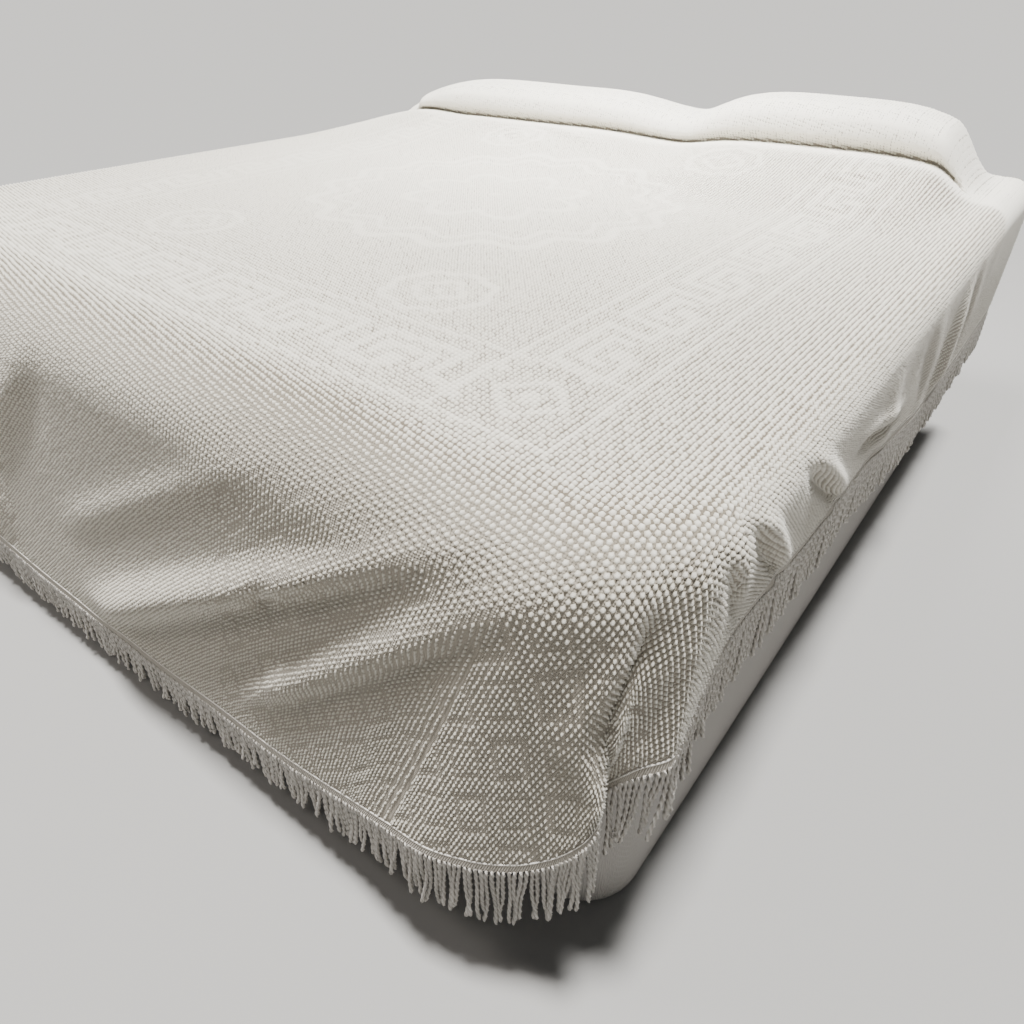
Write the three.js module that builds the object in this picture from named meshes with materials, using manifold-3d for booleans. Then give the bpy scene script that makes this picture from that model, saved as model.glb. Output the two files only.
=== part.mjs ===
// Candlewick bedspread with a fringed hem, draped over a plain bed and its two pillows.
// Millimetres. +Z is up, +Y runs to the head of the bed, and +X points to its near long side.
import * as THREE from "three";
import { mergeVertices } from "three/addons/utils/BufferGeometryUtils.js";
import Module from "manifold-3d";

const wasm = await Module();
wasm.setup();

// Bed
const MATTRESS_WIDTH = 1900;
const MATTRESS_LENGTH = 2000;
const MATTRESS_THICKNESS = 320;
const MATTRESS_CORNER = 120;
const MATTRESS_EDGE = 70;
const BASE_HEIGHT = 400;
const BASE_INSET = 14;
const BASE_EDGE = 12;
const SEAT_GAP = 0.3;

// Cloth
const CLOTH_THICKNESS = 3;
const CLOTH_GAP = 0.5;
const LEAN_POWER = 1.15;
const FOLD_START = 70;
const FOLD_UNDERCUT = 0.4;
const HEM_STILL = 0.12;
const HEM_PULL = 0.75;
const SPINE_FOOT = -700;

// Fringe
const HEADING_GAP = 0.6;
const HEADING_HEIGHT = 14;
const HEADING_THICKNESS = 3;
const STRAND_PITCH = 22;
const STRAND_WIDE = 6;
const STRAND_ROOT = 3;
const STRAND_ROOT_THICK = 0.9;
const STRAND_SWAY = 3.5;
const STRAND_UNEVEN = 10;
const STRAND_SIDES = 3;

// Levels and lengths that follow from these
const TOP = BASE_HEIGHT + SEAT_GAP + MATTRESS_THICKNESS;
const CLOTH_LEVEL = TOP + CLOTH_GAP + CLOTH_THICKNESS / 2;
const HALF_X = MATTRESS_WIDTH / 2;
const HALF_Y = MATTRESS_LENGTH / 2;
const CORNER_ARC = (MATTRESS_CORNER * Math.PI) / 2;
const FOOT_RUN = MATTRESS_WIDTH - 2 * MATTRESS_CORNER;
const SIDE_END = HALF_Y - MATTRESS_CORNER;

const { clamp, lerp, smoothstep } = THREE.MathUtils;

// Places round the mattress edge, measured from where the near side meets the near corner
const near = (v) => -(v + SIDE_END);
const nearCorner = (degrees) => (CORNER_ARC * degrees) / 90;
const foot = (x) => CORNER_ARC + FOOT_RUN / 2 - x;
const farCorner = (degrees) => CORNER_ARC + FOOT_RUN + (CORNER_ARC * degrees) / 90;
const far = (v) => 2 * CORNER_ARC + FOOT_RUN + v + SIDE_END;

// The pillows that lift the cloth at the head, and the cloth that spans the dip between them
const HUMPS = [
  { name: "far pillow", centre: -400, half: 585, crest: 136 },
  { name: "span", centre: 40, half: 420, crest: 108 },
  { name: "near pillow", centre: 505, half: 430, crest: 173 },
];
const HUMP_BLEND = 6;
const TUCK_SHARE = 0.35;
const TUCK_SHARE_SLOPE = 0.0001;
const TUCK_FAR_RISE = 0.2;
const TUCK_NEAR = { full: 780, none: 915 };
const TUCK_FAR = { full: 850, none: 924 };

// Lengthwise section through the pillows. v is the length along the cloth. flat and fold are the place along
// the bed with no pillow and over one, and lift and crest weigh the heights of the tuck and of the pillow.
const LENGTHWISE = [
  { v: 150, flat: 150, fold: 150, lift: 0, crest: 0, dip: 0 },
  { v: 400, flat: 400, fold: 400, lift: 0.42, crest: 0, dip: 0 },
  { v: 600, flat: 600, fold: 600, lift: 0.95, crest: 0, dip: 0 },
  { v: 662, flat: 642, fold: 660, lift: 1, crest: 0, dip: 3 },
  { v: 677, flat: 652, fold: 671, lift: 1, crest: 0, dip: 15 },
  { v: 706, flat: 672, fold: 653, lift: 1, crest: 0.1, dip: 0 },
  { v: 732, flat: 690, fold: 637, lift: 1, crest: 0.33, dip: 0 },
  { v: 763, flat: 711, fold: 646, lift: 1, crest: 0.64, dip: 0 },
  { v: 819, flat: 749, fold: 691, lift: 1, crest: 0.93, dip: 0 },
  { v: 895, flat: 801, fold: 766, lift: 1, crest: 1, dip: 0 },
  { v: 1026, flat: 890, fold: 890, lift: 0.72, crest: 0.72, dip: 0 },
  { v: 1136, flat: 965, fold: 965, lift: 0.14, crest: 0.14, dip: 0 },
  { v: 1166, flat: 985, fold: 985, lift: 0, crest: 0, dip: 0 },
];
const CLOTH_HEAD = 1166;

// The hem, read down the near side, round the foot and up the far side. x and y are its place, drop its depth
// below the top, swell how far the rolled edge stands out from the mattress, roll the radius it turns over
// and fringe the length of the strands there.
const HEM = [
  { at: near(CLOTH_HEAD), x: 979, y: 985, drop: 335, swell: 30, roll: 55, fringe: 105 },
  { at: near(600), x: 978, y: 600, drop: 335, swell: 30, roll: 55, fringe: 105 },
  { at: near(150), x: 976, y: 150, drop: 318, swell: 30, roll: 55, fringe: 105 },
  { at: near(0), x: 976, y: 0, drop: 286, swell: 30, roll: 55, fringe: 105 },
  { at: near(-160), x: 976, y: -160, drop: 252, swell: 30, roll: 55, fringe: 105 },
  { at: near(-315), x: 976, y: -315, drop: 218, swell: 30, roll: 55, fringe: 105 },
  { at: near(-450), x: 976, y: -450, drop: 214, swell: 30, roll: 55, fringe: 105 },
  { at: near(-620), x: 976, y: -620, drop: 202, swell: 30, roll: 55, fringe: 107 },
  { at: near(-760), x: 976, y: -764, drop: 182, swell: 30, roll: 55, fringe: 110 },
  { at: near(-830), x: 976, y: -842, drop: 176, swell: 30, roll: 56, fringe: 112 },
  { at: nearCorner(0), x: 977, y: -892, drop: 188, swell: 30, roll: 58, fringe: 115 },
  { at: nearCorner(12), x: 979, y: -944, drop: 236, swell: 31, roll: 62, fringe: 118 },
  { at: nearCorner(24), x: 981, y: -981, drop: 266, swell: 32, roll: 65, fringe: 118 },
  { at: nearCorner(33), x: 950, y: -1009, drop: 288, swell: 33, roll: 67, fringe: 118 },
  { at: nearCorner(42), x: 925, y: -1032, drop: 318, swell: 34, roll: 70, fringe: 118 },
  { at: nearCorner(54), x: 934, y: -1060, drop: 395, swell: 38, roll: 77, fringe: 118 },
  { at: nearCorner(61), x: 906, y: -1080, drop: 420, swell: 43, roll: 84, fringe: 118 },
  { at: nearCorner(68), x: 858, y: -1103, drop: 448, swell: 47, roll: 88, fringe: 118 },
  { at: nearCorner(76), x: 800, y: -1127, drop: 464, swell: 52, roll: 95, fringe: 114 },
  { at: nearCorner(84), x: 735, y: -1138, drop: 482, swell: 56, roll: 102, fringe: 108 },
  { at: foot(830), x: 680, y: -1135, drop: 497, swell: 58, roll: 106, fringe: 102 },
  { at: foot(700), x: 566, y: -1130, drop: 530, swell: 60, roll: 110, fringe: 94 },
  { at: foot(540), x: 430, y: -1130, drop: 552, swell: 60, roll: 110, fringe: 88 },
  { at: foot(340), x: 262, y: -1127, drop: 566, swell: 60, roll: 110, fringe: 84 },
  { at: foot(100), x: 55, y: -1128, drop: 577, swell: 60, roll: 110, fringe: 84 },
  { at: foot(-250), x: -265, y: -1130, drop: 576, swell: 60, roll: 110, fringe: 86 },
  { at: foot(-600), x: -608, y: -1128, drop: 562, swell: 58, roll: 106, fringe: 92 },
  { at: foot(-830), x: -830, y: -1120, drop: 540, swell: 54, roll: 98, fringe: 98 },
  { at: farCorner(30), x: -925, y: -1098, drop: 490, swell: 46, roll: 84, fringe: 104 },
  { at: farCorner(58), x: -994, y: -1040, drop: 440, swell: 38, roll: 72, fringe: 106 },
  { at: farCorner(90), x: -1005, y: -910, drop: 388, swell: 32, roll: 62, fringe: 106 },
  { at: far(-640), x: -988, y: -650, drop: 355, swell: 30, roll: 56, fringe: 106 },
  { at: far(-200), x: -980, y: -200, drop: 340, swell: 30, roll: 55, fringe: 105 },
  { at: far(600), x: -980, y: 600, drop: 335, swell: 30, roll: 55, fringe: 105 },
  { at: far(CLOTH_HEAD), x: -980, y: 985, drop: 335, swell: 30, roll: 55, fringe: 105 },
];

// Folds on the falls. from and to are places along the side (x at the foot, y on the long sides) with their
// depths below the top. A fold stands out by its height and is as wide as its width to either side.
const FOLDS = [
  { side: "foot", from: 790, fromDepth: 22, to: -140, toDepth: 585, height: 30, width: 44 },
  { side: "foot", from: 865, fromDepth: 37, to: 360, toDepth: 491, height: 20, width: 38 },
  { side: "foot", from: 490, fromDepth: 36, to: -160, toDepth: 402, height: 16, width: 40 },
  { side: "foot", from: -120, fromDepth: 60, to: -420, toDepth: 330, height: 16, width: 60 },
  { side: "foot", from: -760, fromDepth: 60, to: -420, toDepth: 520, height: 22, width: 66 },
  { side: "near", from: -300, fromDepth: 50, to: -190, toDepth: 300, height: 6, width: 44 },
  { side: "near", from: 240, fromDepth: 50, to: 300, toDepth: 330, height: 12, width: 60 },
  { side: "far", from: -560, fromDepth: 50, to: -600, toDepth: 340, height: 14, width: 60 },
  { side: "far", from: 60, fromDepth: 50, to: 20, toDepth: 340, height: 13, width: 60 },
];

// Hollows where the cloth has buckled in below the near edge
const DENTS = [
  { y: -576, depth: 133, along: 52, down: 46, deep: 8 },
  { y: -787, depth: 114, along: 44, down: 44, deep: 8 },
  { y: -260, depth: 180, along: 70, down: 46, deep: 6 },
  { y: 140, depth: 180, along: 90, down: 90, deep: 8 },
];

// Cubic through the rows of a table that never passes beyond neighbouring rows
function readRow(rows, key, at, column) {
  const last = rows.length - 1;
  if (at <= rows[0][key]) return rows[0][column];
  if (at >= rows[last][key]) return rows[last][column];
  const i = rows.findIndex((row) => row[key] > at) - 1;
  const gap = (k) => rows[k + 1][key] - rows[k][key];
  const rise = (k) => (rows[k + 1][column] - rows[k][column]) / gap(k);
  const slope = (k) => {
    if (k === 0) return rise(0);
    if (k === last) return rise(last - 1);
    const before = rise(k - 1);
    const after = rise(k);
    if (before * after <= 0) return 0;
    const weightBefore = 2 * gap(k) + gap(k - 1);
    const weightAfter = gap(k) + 2 * gap(k - 1);
    return (weightBefore + weightAfter) / (weightBefore / before + weightAfter / after);
  };
  const t = (at - rows[i][key]) / gap(i);
  const start = rows[i][column];
  const end = rows[i + 1][column];
  const bendStart = slope(i) * gap(i);
  const bendEnd = slope(i + 1) * gap(i);
  return (
    start * (1 + 2 * t) * (1 - t) ** 2 +
    bendStart * t * (1 - t) ** 2 +
    end * t * t * (3 - 2 * t) +
    bendEnd * t * t * (t - 1)
  );
}

const hemAt = (at, column) => readRow(HEM, "at", at, column);
const lengthAt = (v, column) => readRow(LENGTHWISE, "v", v, column);
const flatY = (v) => (v <= LENGTHWISE[0].v ? v : lengthAt(v, "flat"));

// A point of the mattress edge in plan, with the direction that faces out there
function edgeAt(at) {
  const turnFrom = (start) => (at - start) / MATTRESS_CORNER;
  const onArc = (centreX, angle) => ({
    x: centreX + MATTRESS_CORNER * Math.cos(angle),
    y: -SIDE_END + MATTRESS_CORNER * Math.sin(angle),
    nx: Math.cos(angle),
    ny: Math.sin(angle),
  });
  if (at < 0) return { x: HALF_X, y: flatY(-at - SIDE_END), nx: 1, ny: 0 };
  if (at <= CORNER_ARC) return onArc(HALF_X - MATTRESS_CORNER, -turnFrom(0));
  if (at < farCorner(0)) return { x: foot(0) - at, y: -HALF_Y, nx: 0, ny: -1 };
  if (at <= farCorner(90)) {
    return onArc(MATTRESS_CORNER - HALF_X, -Math.PI / 2 - turnFrom(farCorner(0)));
  }
  return { x: -HALF_X, y: flatY(at - far(0)), nx: -1, ny: 0 };
}

// How much of the tuck is left at a place across the bed: all over the pillows, none at the long edges
function tuckedShare(x) {
  const { full, none } = x > 0 ? TUCK_NEAR : TUCK_FAR;
  return 1 - smoothstep(Math.abs(x), full, none);
}

// How high the pillows lift the cloth at a place across the bed. The far one lifts it right up to the edge
function humpHeight(x) {
  let sum = 0;
  for (const hump of HUMPS) {
    const reach = Math.min(Math.abs(x - hump.centre) / hump.half, 1);
    sum += (hump.crest * (1 - reach ** 4)) ** HUMP_BLEND;
  }
  return sum ** (1 / HUMP_BLEND) * (x > 0 ? tuckedShare(x) : 1);
}

// A point of the cloth on top of the bed, at x across and v along
function topPoint(x, v) {
  if (v <= LENGTHWISE[0].v) return new THREE.Vector3(x, v, CLOTH_LEVEL);
  const hump = humpHeight(x);
  const farRise = TUCK_FAR_RISE * smoothstep(-x, 650, HALF_X - 25);
  const tuck = hump * (TUCK_SHARE + TUCK_SHARE_SLOPE * x + farRise);
  const folded = tuckedShare(x);
  const y = lerp(lengthAt(v, "flat"), lengthAt(v, "fold"), folded);
  const lift = lengthAt(v, "lift") * tuck + lengthAt(v, "crest") * (hump - tuck);
  return new THREE.Vector3(x, y, CLOTH_LEVEL + lift - folded * lengthAt(v, "dip"));
}

// How far the far pillow lifts the cloth where it rolls over the far edge
function rimLift(at) {
  if (at <= farCorner(90)) return 0;
  const reach = HALF_X + hemAt(at, "swell") - hemAt(at, "roll");
  return topPoint(-reach, at - far(0)).z - CLOTH_LEVEL;
}

// How far the folds push the cloth out at a place along a side and a depth below the top
function foldPush(side, along, depth) {
  let push = 0;
  for (const fold of FOLDS) {
    if (fold.side !== side) continue;
    const run = fold.to - fold.from;
    const fall = fold.toDepth - fold.fromDepth;
    const length = Math.hypot(run, fall);
    const share = ((along - fold.from) * run + (depth - fold.fromDepth) * fall) / length ** 2;
    const nearest = clamp(share, 0, 1);
    const offAlong = along - fold.from - nearest * run;
    const offDepth = depth - fold.fromDepth - nearest * fall;
    const off = Math.hypot(offAlong, offDepth) * (offDepth < 0 ? -1 : 1);
    const taper = smoothstep(share, -0.05, 0.42) * (1 - smoothstep(share, 0.78, 1.06));
    const ridge = Math.exp(-((off / fold.width) ** 2));
    const trough = Math.exp(-(((off - 1.7 * fold.width) / fold.width) ** 2));
    push += fold.height * taper * (ridge - FOLD_UNDERCUT * trough);
  }
  if (side === "near") {
    for (const dent of DENTS) {
      const off = ((along - dent.y) / dent.along) ** 2 + ((depth - dent.depth) / dent.down) ** 2;
      push -= dent.deep * Math.exp(-off);
    }
  }
  return push * smoothstep(depth, 0, FOLD_START);
}

// A point of the falling cloth: turn is the angle that it has rolled over the edge, and fall the share of the
// straight drop below that
function fallPoint(at, turn, fall) {
  const edge = edgeAt(at);
  const roll = hemAt(at, "roll");
  const swell = hemAt(at, "swell");
  const drop = hemAt(at, "drop");
  const out = swell - roll + roll * Math.sin(turn);
  const depth = roll * (1 - Math.cos(turn)) + fall * (drop - roll);
  const lean = (depth / drop) ** LEAN_POWER;
  const x = edge.x + edge.nx * out + lean * (hemAt(at, "x") - edge.x - edge.nx * swell);
  const y = edge.y + edge.ny * out + lean * (hemAt(at, "y") - edge.y - edge.ny * swell);
  const footShare = edge.ny ** 2;
  const side = edge.nx > 0 ? "near" : "far";
  const folds = footShare * foldPush("foot", x, depth) + (1 - footShare) * foldPush(side, y, depth);
  const push = folds * (1 - HEM_PULL * smoothstep(depth / drop, 1 - HEM_STILL, 1));
  const lift = rimLift(at) * (1 - smoothstep(depth / drop, 0, 0.8));
  return new THREE.Vector3(x + edge.nx * push, y + edge.ny * push, CLOTH_LEVEL - depth + lift);
}

// Stations round the bed, and steps down the fall and in from the edge to the middle line
const LONG_STATIONS = [
  1166, 1136, 1085, 1026, 960, 895, 855, 819, 790, 763, 746, 732, 718, 706, 692, 677, 664, 645, 600, 520, 400,
  270, 150, 20, -110, -210, -290, -400, -500, -565, -625, -690, -760, -815, -850,
];
const CORNER_STEP = 5;
const FAR_CORNER_STEP = 15;
const FOOT_STATIONS = [
  830, 785, 740, 695, 650, 605, 560, 510, 460, 410, 360, 305, 250, 190, 125, 55, -20, -110, -220, -340, -460,
  -580, -680, -760, -830,
];
const ROLL_TURNS = [0, 30, 60, 90].map((degrees) => (degrees * Math.PI) / 180);
const FALL_SHARES = [0.12, 0.25, 0.38, 0.51, 0.64, 0.76, 0.88, 1];
const TOP_SHARES = [0.06, 0.17, 0.32, 0.48, 0.65, 0.83, 1];

function stations() {
  const list = LONG_STATIONS.map(near);
  for (let turn = 0; turn < 90; turn += CORNER_STEP) list.push(nearCorner(turn));
  list.push(...FOOT_STATIONS.map(foot));
  for (let turn = FAR_CORNER_STEP; turn <= 90; turn += FAR_CORNER_STEP) list.push(farCorner(turn));
  list.push(...[...LONG_STATIONS].reverse().map(far));
  return list;
}

// One line of cloth from the hem up over the edge to the middle of the bed
function clothLine(at) {
  const line = FALL_SHARES.map((fall) => fallPoint(at, Math.PI / 2, fall)).reverse();
  line.push(...ROLL_TURNS.map((turn) => fallPoint(at, turn, 0)).reverse());
  const rim = line[line.length - 1];
  const onSide = at < 0 || at > farCorner(90);
  const v = at < 0 ? -at - SIDE_END : at - far(0);
  const middleV = onSide ? Math.max(v, SPINE_FOOT) : SPINE_FOOT;
  const rimV = onSide ? v : rim.y;
  for (const share of TOP_SHARES) {
    line.push(topPoint(rim.x * (1 - share), lerp(rimV, middleV, share)));
  }
  return line;
}

// Triangles between the rows of a grid of points, with shared points merged
function gridSurface(lines) {
  const width = lines[0].length;
  const positions = lines.flat().flatMap((point) => point.toArray());
  const index = [];
  for (let i = 0; i + 1 < lines.length; i += 1) {
    for (let j = 0; j + 1 < width; j += 1) {
      const a = i * width + j;
      const b = a + width;
      index.push(a, a + 1, b, a + 1, b + 1, b);
    }
  }
  const geometry = new THREE.BufferGeometry();
  geometry.setAttribute("position", new THREE.Float32BufferAttribute(positions, 3));
  geometry.setIndex(index);
  const merged = mergeVertices(geometry, 0.01);
  const kept = [];
  for (let i = 0; i < merged.index.count; i += 3) {
    const corners = [0, 1, 2].map((k) => merged.index.getX(i + k));
    if (new Set(corners).size === 3) kept.push(...corners);
  }
  merged.setIndex(kept);
  merged.computeVertexNormals();
  return merged;
}

// A closed sheet of the given thickness about a surface
function thicken(surface, thickness) {
  const count = surface.attributes.position.count;
  const point = new THREE.Vector3();
  const normal = new THREE.Vector3();
  const positions = [];
  for (const side of [0.5, -0.5]) {
    for (let i = 0; i < count; i += 1) {
      point.fromBufferAttribute(surface.attributes.position, i);
      normal.fromBufferAttribute(surface.attributes.normal, i);
      positions.push(...point.addScaledVector(normal, side * thickness).toArray());
    }
  }
  const face = Array.from(surface.index.array);
  const index = [...face];
  const edges = new Set();
  for (let i = 0; i < face.length; i += 3) {
    const [a, b, c] = face.slice(i, i + 3);
    index.push(a + count, c + count, b + count);
    for (const pair of [[a, b], [b, c], [c, a]]) edges.add(pair.join());
  }
  for (const edge of edges) {
    const [a, b] = edge.split(",").map(Number);
    if (edges.has(`${b},${a}`)) continue;
    index.push(b, a, a + count, b, a + count, b + count);
  }
  return closedGeometry(positions, index);
}

// A closed body through sections with the same number of points, with flat ends
function loft(sections) {
  const sides = sections[0].length;
  const positions = sections.flat().flatMap((point) => point.toArray());
  const index = [];
  for (let i = 0; i + 1 < sections.length; i += 1) {
    for (let k = 0; k < sides; k += 1) {
      const a = i * sides + k;
      const b = i * sides + ((k + 1) % sides);
      index.push(a, b, b + sides, a, b + sides, a + sides);
    }
  }
  const end = (sections.length - 1) * sides;
  for (let k = 1; k + 1 < sides; k += 1) {
    index.push(0, k + 1, k, end, end + k, end + k + 1);
  }
  return closedGeometry(positions, index);
}

// A geometry whose faces point out
function closedGeometry(positions, index) {
  const corner = (i) => new THREE.Vector3().fromArray(positions, 3 * i);
  let volume = 0;
  for (let i = 0; i < index.length; i += 3) {
    const [a, b, c] = [0, 1, 2].map((k) => corner(index[i + k]));
    volume += a.dot(b.cross(c));
  }
  if (volume < 0) index.reverse();
  const geometry = new THREE.BufferGeometry();
  geometry.setAttribute("position", new THREE.Float32BufferAttribute(positions, 3));
  geometry.setIndex(index);
  geometry.computeVertexNormals();
  return geometry;
}

function toSolid(geometry) {
  return new wasm.Manifold(
    new wasm.Mesh({
      numProp: 3,
      vertProperties: new Float32Array(geometry.attributes.position.array),
      triVerts: new Uint32Array(geometry.index.array),
    }),
  );
}

function fromSolid(solid) {
  const mesh = solid.getMesh();
  return closedGeometry(Array.from(mesh.vertProperties), Array.from(mesh.triVerts));
}

// A fixed scatter between -1 and 1 for the uneven strands
function scatter(seed) {
  const wave = Math.sin(seed * 12.9898) * 43758.5453;
  return 2 * (wave - Math.floor(wave)) - 1;
}

// Where the heading hangs at one station of the hem: its top edge, its way down and the way it faces
function headingAt(lines, facingAt, i) {
  const hem = lines[i][0];
  const back = lines[Math.max(i - 1, 0)][0];
  const ahead = lines[Math.min(i + 1, lines.length - 1)][0];
  const along = ahead.clone().sub(back).normalize();
  const facing = facingAt(hem);
  const down = new THREE.Vector3().crossVectors(facing, along).normalize();
  if (down.z > 0) down.negate();
  return { top: hem.clone().addScaledVector(down, HEADING_GAP), down, facing };
}

// The way that a surface faces at one of its own points
function facingOf(surface) {
  const key = (point) => point.toArray().map((value) => value.toFixed(1)).join();
  const facing = new Map();
  for (let i = 0; i < surface.attributes.position.count; i += 1) {
    const point = new THREE.Vector3().fromBufferAttribute(surface.attributes.position, i);
    facing.set(key(point), new THREE.Vector3().fromBufferAttribute(surface.attributes.normal, i));
  }
  return (point) => facing.get(key(point));
}

// One run of fringe: a heading strip under the hem with strands fused into its lower edge
function fringeRun(lines, facingAt, first, last, seed) {
  const frames = [];
  for (let i = first; i <= last; i += 1) frames.push(headingAt(lines, facingAt, i));
  const half = HEADING_THICKNESS / 2;
  const strip = loft(
    frames.map(({ top, down, facing }) => {
      const low = top.clone().addScaledVector(down, HEADING_HEIGHT);
      return [
        top.clone().addScaledVector(facing, -half),
        low.clone().addScaledVector(facing, -half),
        low.clone().addScaledVector(facing, half),
        top.clone().addScaledVector(facing, half),
      ];
    }),
  );
  let solid = toSolid(strip);
  let carried = STRAND_PITCH / 2;
  let number = 0;
  for (let i = 0; i + 1 < frames.length; i += 1) {
    const start = lowEdge(frames[i]);
    const end = lowEdge(frames[i + 1]);
    const length = start.distanceTo(end);
    while (carried < length) {
      const share = carried / length;
      const root = start.clone().lerp(end, share);
      const at = lerp(atList[first + i], atList[first + i + 1], share);
      const along = end.clone().sub(start).setZ(0).normalize();
      solid = solid.add(toSolid(strand(root, along, hemAt(at, "fringe"), seed + number)));
      carried += STRAND_PITCH;
      number += 1;
    }
    carried -= length;
  }
  return fromSolid(solid);
}

const lowEdge = ({ top, down }) => top.clone().addScaledVector(down, HEADING_HEIGHT);

// One hanging strand, straight down with a slight sway
function strand(root, along, length, seed) {
  const out = new THREE.Vector3(along.y, -along.x, 0);
  const reach = length + STRAND_UNEVEN * scatter(seed + 0.3);
  const steps = [
    { fall: -STRAND_ROOT, sway: 0, wide: STRAND_WIDE, thick: STRAND_ROOT_THICK },
    { fall: reach, sway: STRAND_SWAY * scatter(seed + 0.1), wide: STRAND_WIDE, thick: STRAND_WIDE },
  ];
  return loft(
    steps.map(({ fall, sway, wide, thick }) => {
      const centre = root.clone().addScaledVector(along, sway).setZ(root.z - fall);
      return Array.from({ length: STRAND_SIDES }, (_, k) => {
        const angle = (2 * Math.PI * k) / STRAND_SIDES + Math.PI / 2;
        return centre
          .clone()
          .addScaledVector(along, wide * Math.cos(angle))
          .addScaledVector(out, thick * Math.sin(angle));
      });
    }),
  );
}

// A block with rounded corners in plan and rounded edges
function roundedBlock(width, length, height, corner, edge) {
  const x = width / 2;
  const y = length / 2;
  const shape = new THREE.Shape();
  shape.absarc(x - corner, y - corner, corner, 0, Math.PI / 2);
  shape.absarc(corner - x, y - corner, corner, Math.PI / 2, Math.PI);
  shape.absarc(corner - x, corner - y, corner, Math.PI, Math.PI * 1.5);
  shape.absarc(x - corner, corner - y, corner, Math.PI * 1.5, Math.PI * 2);
  shape.closePath();
  const geometry = new THREE.ExtrudeGeometry(shape, {
    depth: height - 2 * edge,
    bevelThickness: edge,
    bevelSize: edge,
    bevelOffset: -edge,
    bevelSegments: 4,
    curveSegments: 5,
  });
  geometry.translate(0, 0, edge);
  return geometry;
}

// Pillows, set back from the tuck and lower than the cloth over them
const PILLOW_FRONT = 700;
const PILLOW_BACK = 925;
const PILLOW_SHARE = 0.8;
const PILLOW_SIDE_INSET = 130;
const PILLOW_END = 0.97;
const PILLOW_ACROSS = 14;
const PILLOW_ARC = 10;

function pillow(hump) {
  const half = hump.half - PILLOW_SIDE_INSET;
  const middle = (PILLOW_FRONT + PILLOW_BACK) / 2;
  const sections = Array.from({ length: PILLOW_ACROSS + 1 }, (_, i) => {
    const u = PILLOW_END * ((2 * i) / PILLOW_ACROSS - 1);
    const crown = Math.sqrt(1 - u ** 4);
    const deep = ((PILLOW_BACK - PILLOW_FRONT) / 2) * (0.6 + 0.4 * crown);
    return Array.from({ length: PILLOW_ARC + 1 }, (_unused, k) => {
      const angle = (Math.PI * k) / PILLOW_ARC;
      const y = middle + deep * Math.cos(angle);
      return new THREE.Vector3(hump.centre + u * half, y, PILLOW_SHARE * hump.crest * crown * Math.sin(angle));
    });
  });
  return loft(sections);
}

const bed = new THREE.Group();

function addPiece(name, geometry, color, roughness, level = 0) {
  const material = new THREE.MeshStandardMaterial({ color, roughness, metalness: 0 });
  const mesh = new THREE.Mesh(geometry, material);
  mesh.name = name;
  mesh.position.z = level;
  bed.add(mesh);
}

const atList = stations();
const lines = atList.map(clothLine);
const notchSide = atList.indexOf(nearCorner(35));
const notchFoot = atList.indexOf(nearCorner(55));
const farTurn = atList.indexOf(farCorner(45));

addPiece("bed_base", roundedBlock(MATTRESS_WIDTH - 2 * BASE_INSET, MATTRESS_LENGTH - 2 * BASE_INSET,
  BASE_HEIGHT, MATTRESS_CORNER - BASE_INSET, BASE_EDGE), 0xb9b4aa, 0.9);
addPiece("mattress", roundedBlock(MATTRESS_WIDTH, MATTRESS_LENGTH, MATTRESS_THICKNESS, MATTRESS_CORNER,
  MATTRESS_EDGE), 0xe9e6df, 0.9, BASE_HEIGHT + SEAT_GAP);
for (const hump of HUMPS.filter(({ name }) => name.endsWith("pillow"))) {
  addPiece(hump.name.replace(" ", "_"), pillow(hump), 0xefece6, 0.9, TOP + SEAT_GAP);
}
const cloth = gridSurface(lines);
const facingAt = facingOf(cloth);
addPiece("bedspread", thicken(cloth, CLOTH_THICKNESS), 0xdedad2, 0.95);
addPiece("fringe_near", fringeRun(lines, facingAt, 0, notchSide, 1), 0xd2cbc0, 0.95);
addPiece("fringe_foot", fringeRun(lines, facingAt, notchFoot, farTurn - 1, 400), 0xd2cbc0, 0.95);
addPiece("fringe_far", fringeRun(lines, facingAt, farTurn, atList.length - 1, 800), 0xd2cbc0, 0.95);

// The origin is under the middle of the whole bed, at floor level
const part = new THREE.Group();
part.add(bed);
const middle = new THREE.Box3().setFromObject(bed).getCenter(new THREE.Vector3());
bed.position.set(-middle.x, -middle.y, 0);

export default part;
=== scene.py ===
"""A candlewick bedspread with a twisted fringe, draped over a bed and tucked under its pillows."""

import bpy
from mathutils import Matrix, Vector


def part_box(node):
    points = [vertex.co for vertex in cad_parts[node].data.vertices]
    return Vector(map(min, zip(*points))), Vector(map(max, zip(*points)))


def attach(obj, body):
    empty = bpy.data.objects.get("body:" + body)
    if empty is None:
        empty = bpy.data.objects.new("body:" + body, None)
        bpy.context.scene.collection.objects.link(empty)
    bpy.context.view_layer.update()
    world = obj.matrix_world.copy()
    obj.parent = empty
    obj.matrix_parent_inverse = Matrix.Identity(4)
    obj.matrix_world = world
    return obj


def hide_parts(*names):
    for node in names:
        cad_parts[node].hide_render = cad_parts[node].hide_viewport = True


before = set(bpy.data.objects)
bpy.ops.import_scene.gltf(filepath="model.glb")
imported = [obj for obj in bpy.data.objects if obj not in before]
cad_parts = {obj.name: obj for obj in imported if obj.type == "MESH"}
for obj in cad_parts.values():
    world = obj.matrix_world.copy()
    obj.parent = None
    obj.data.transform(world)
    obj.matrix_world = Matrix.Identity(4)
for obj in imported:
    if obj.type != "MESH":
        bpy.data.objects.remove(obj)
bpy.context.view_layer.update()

import math

import bpy
import numpy as np
from mathutils import Matrix, Vector
from mathutils.bvhtree import BVHTree

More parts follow.
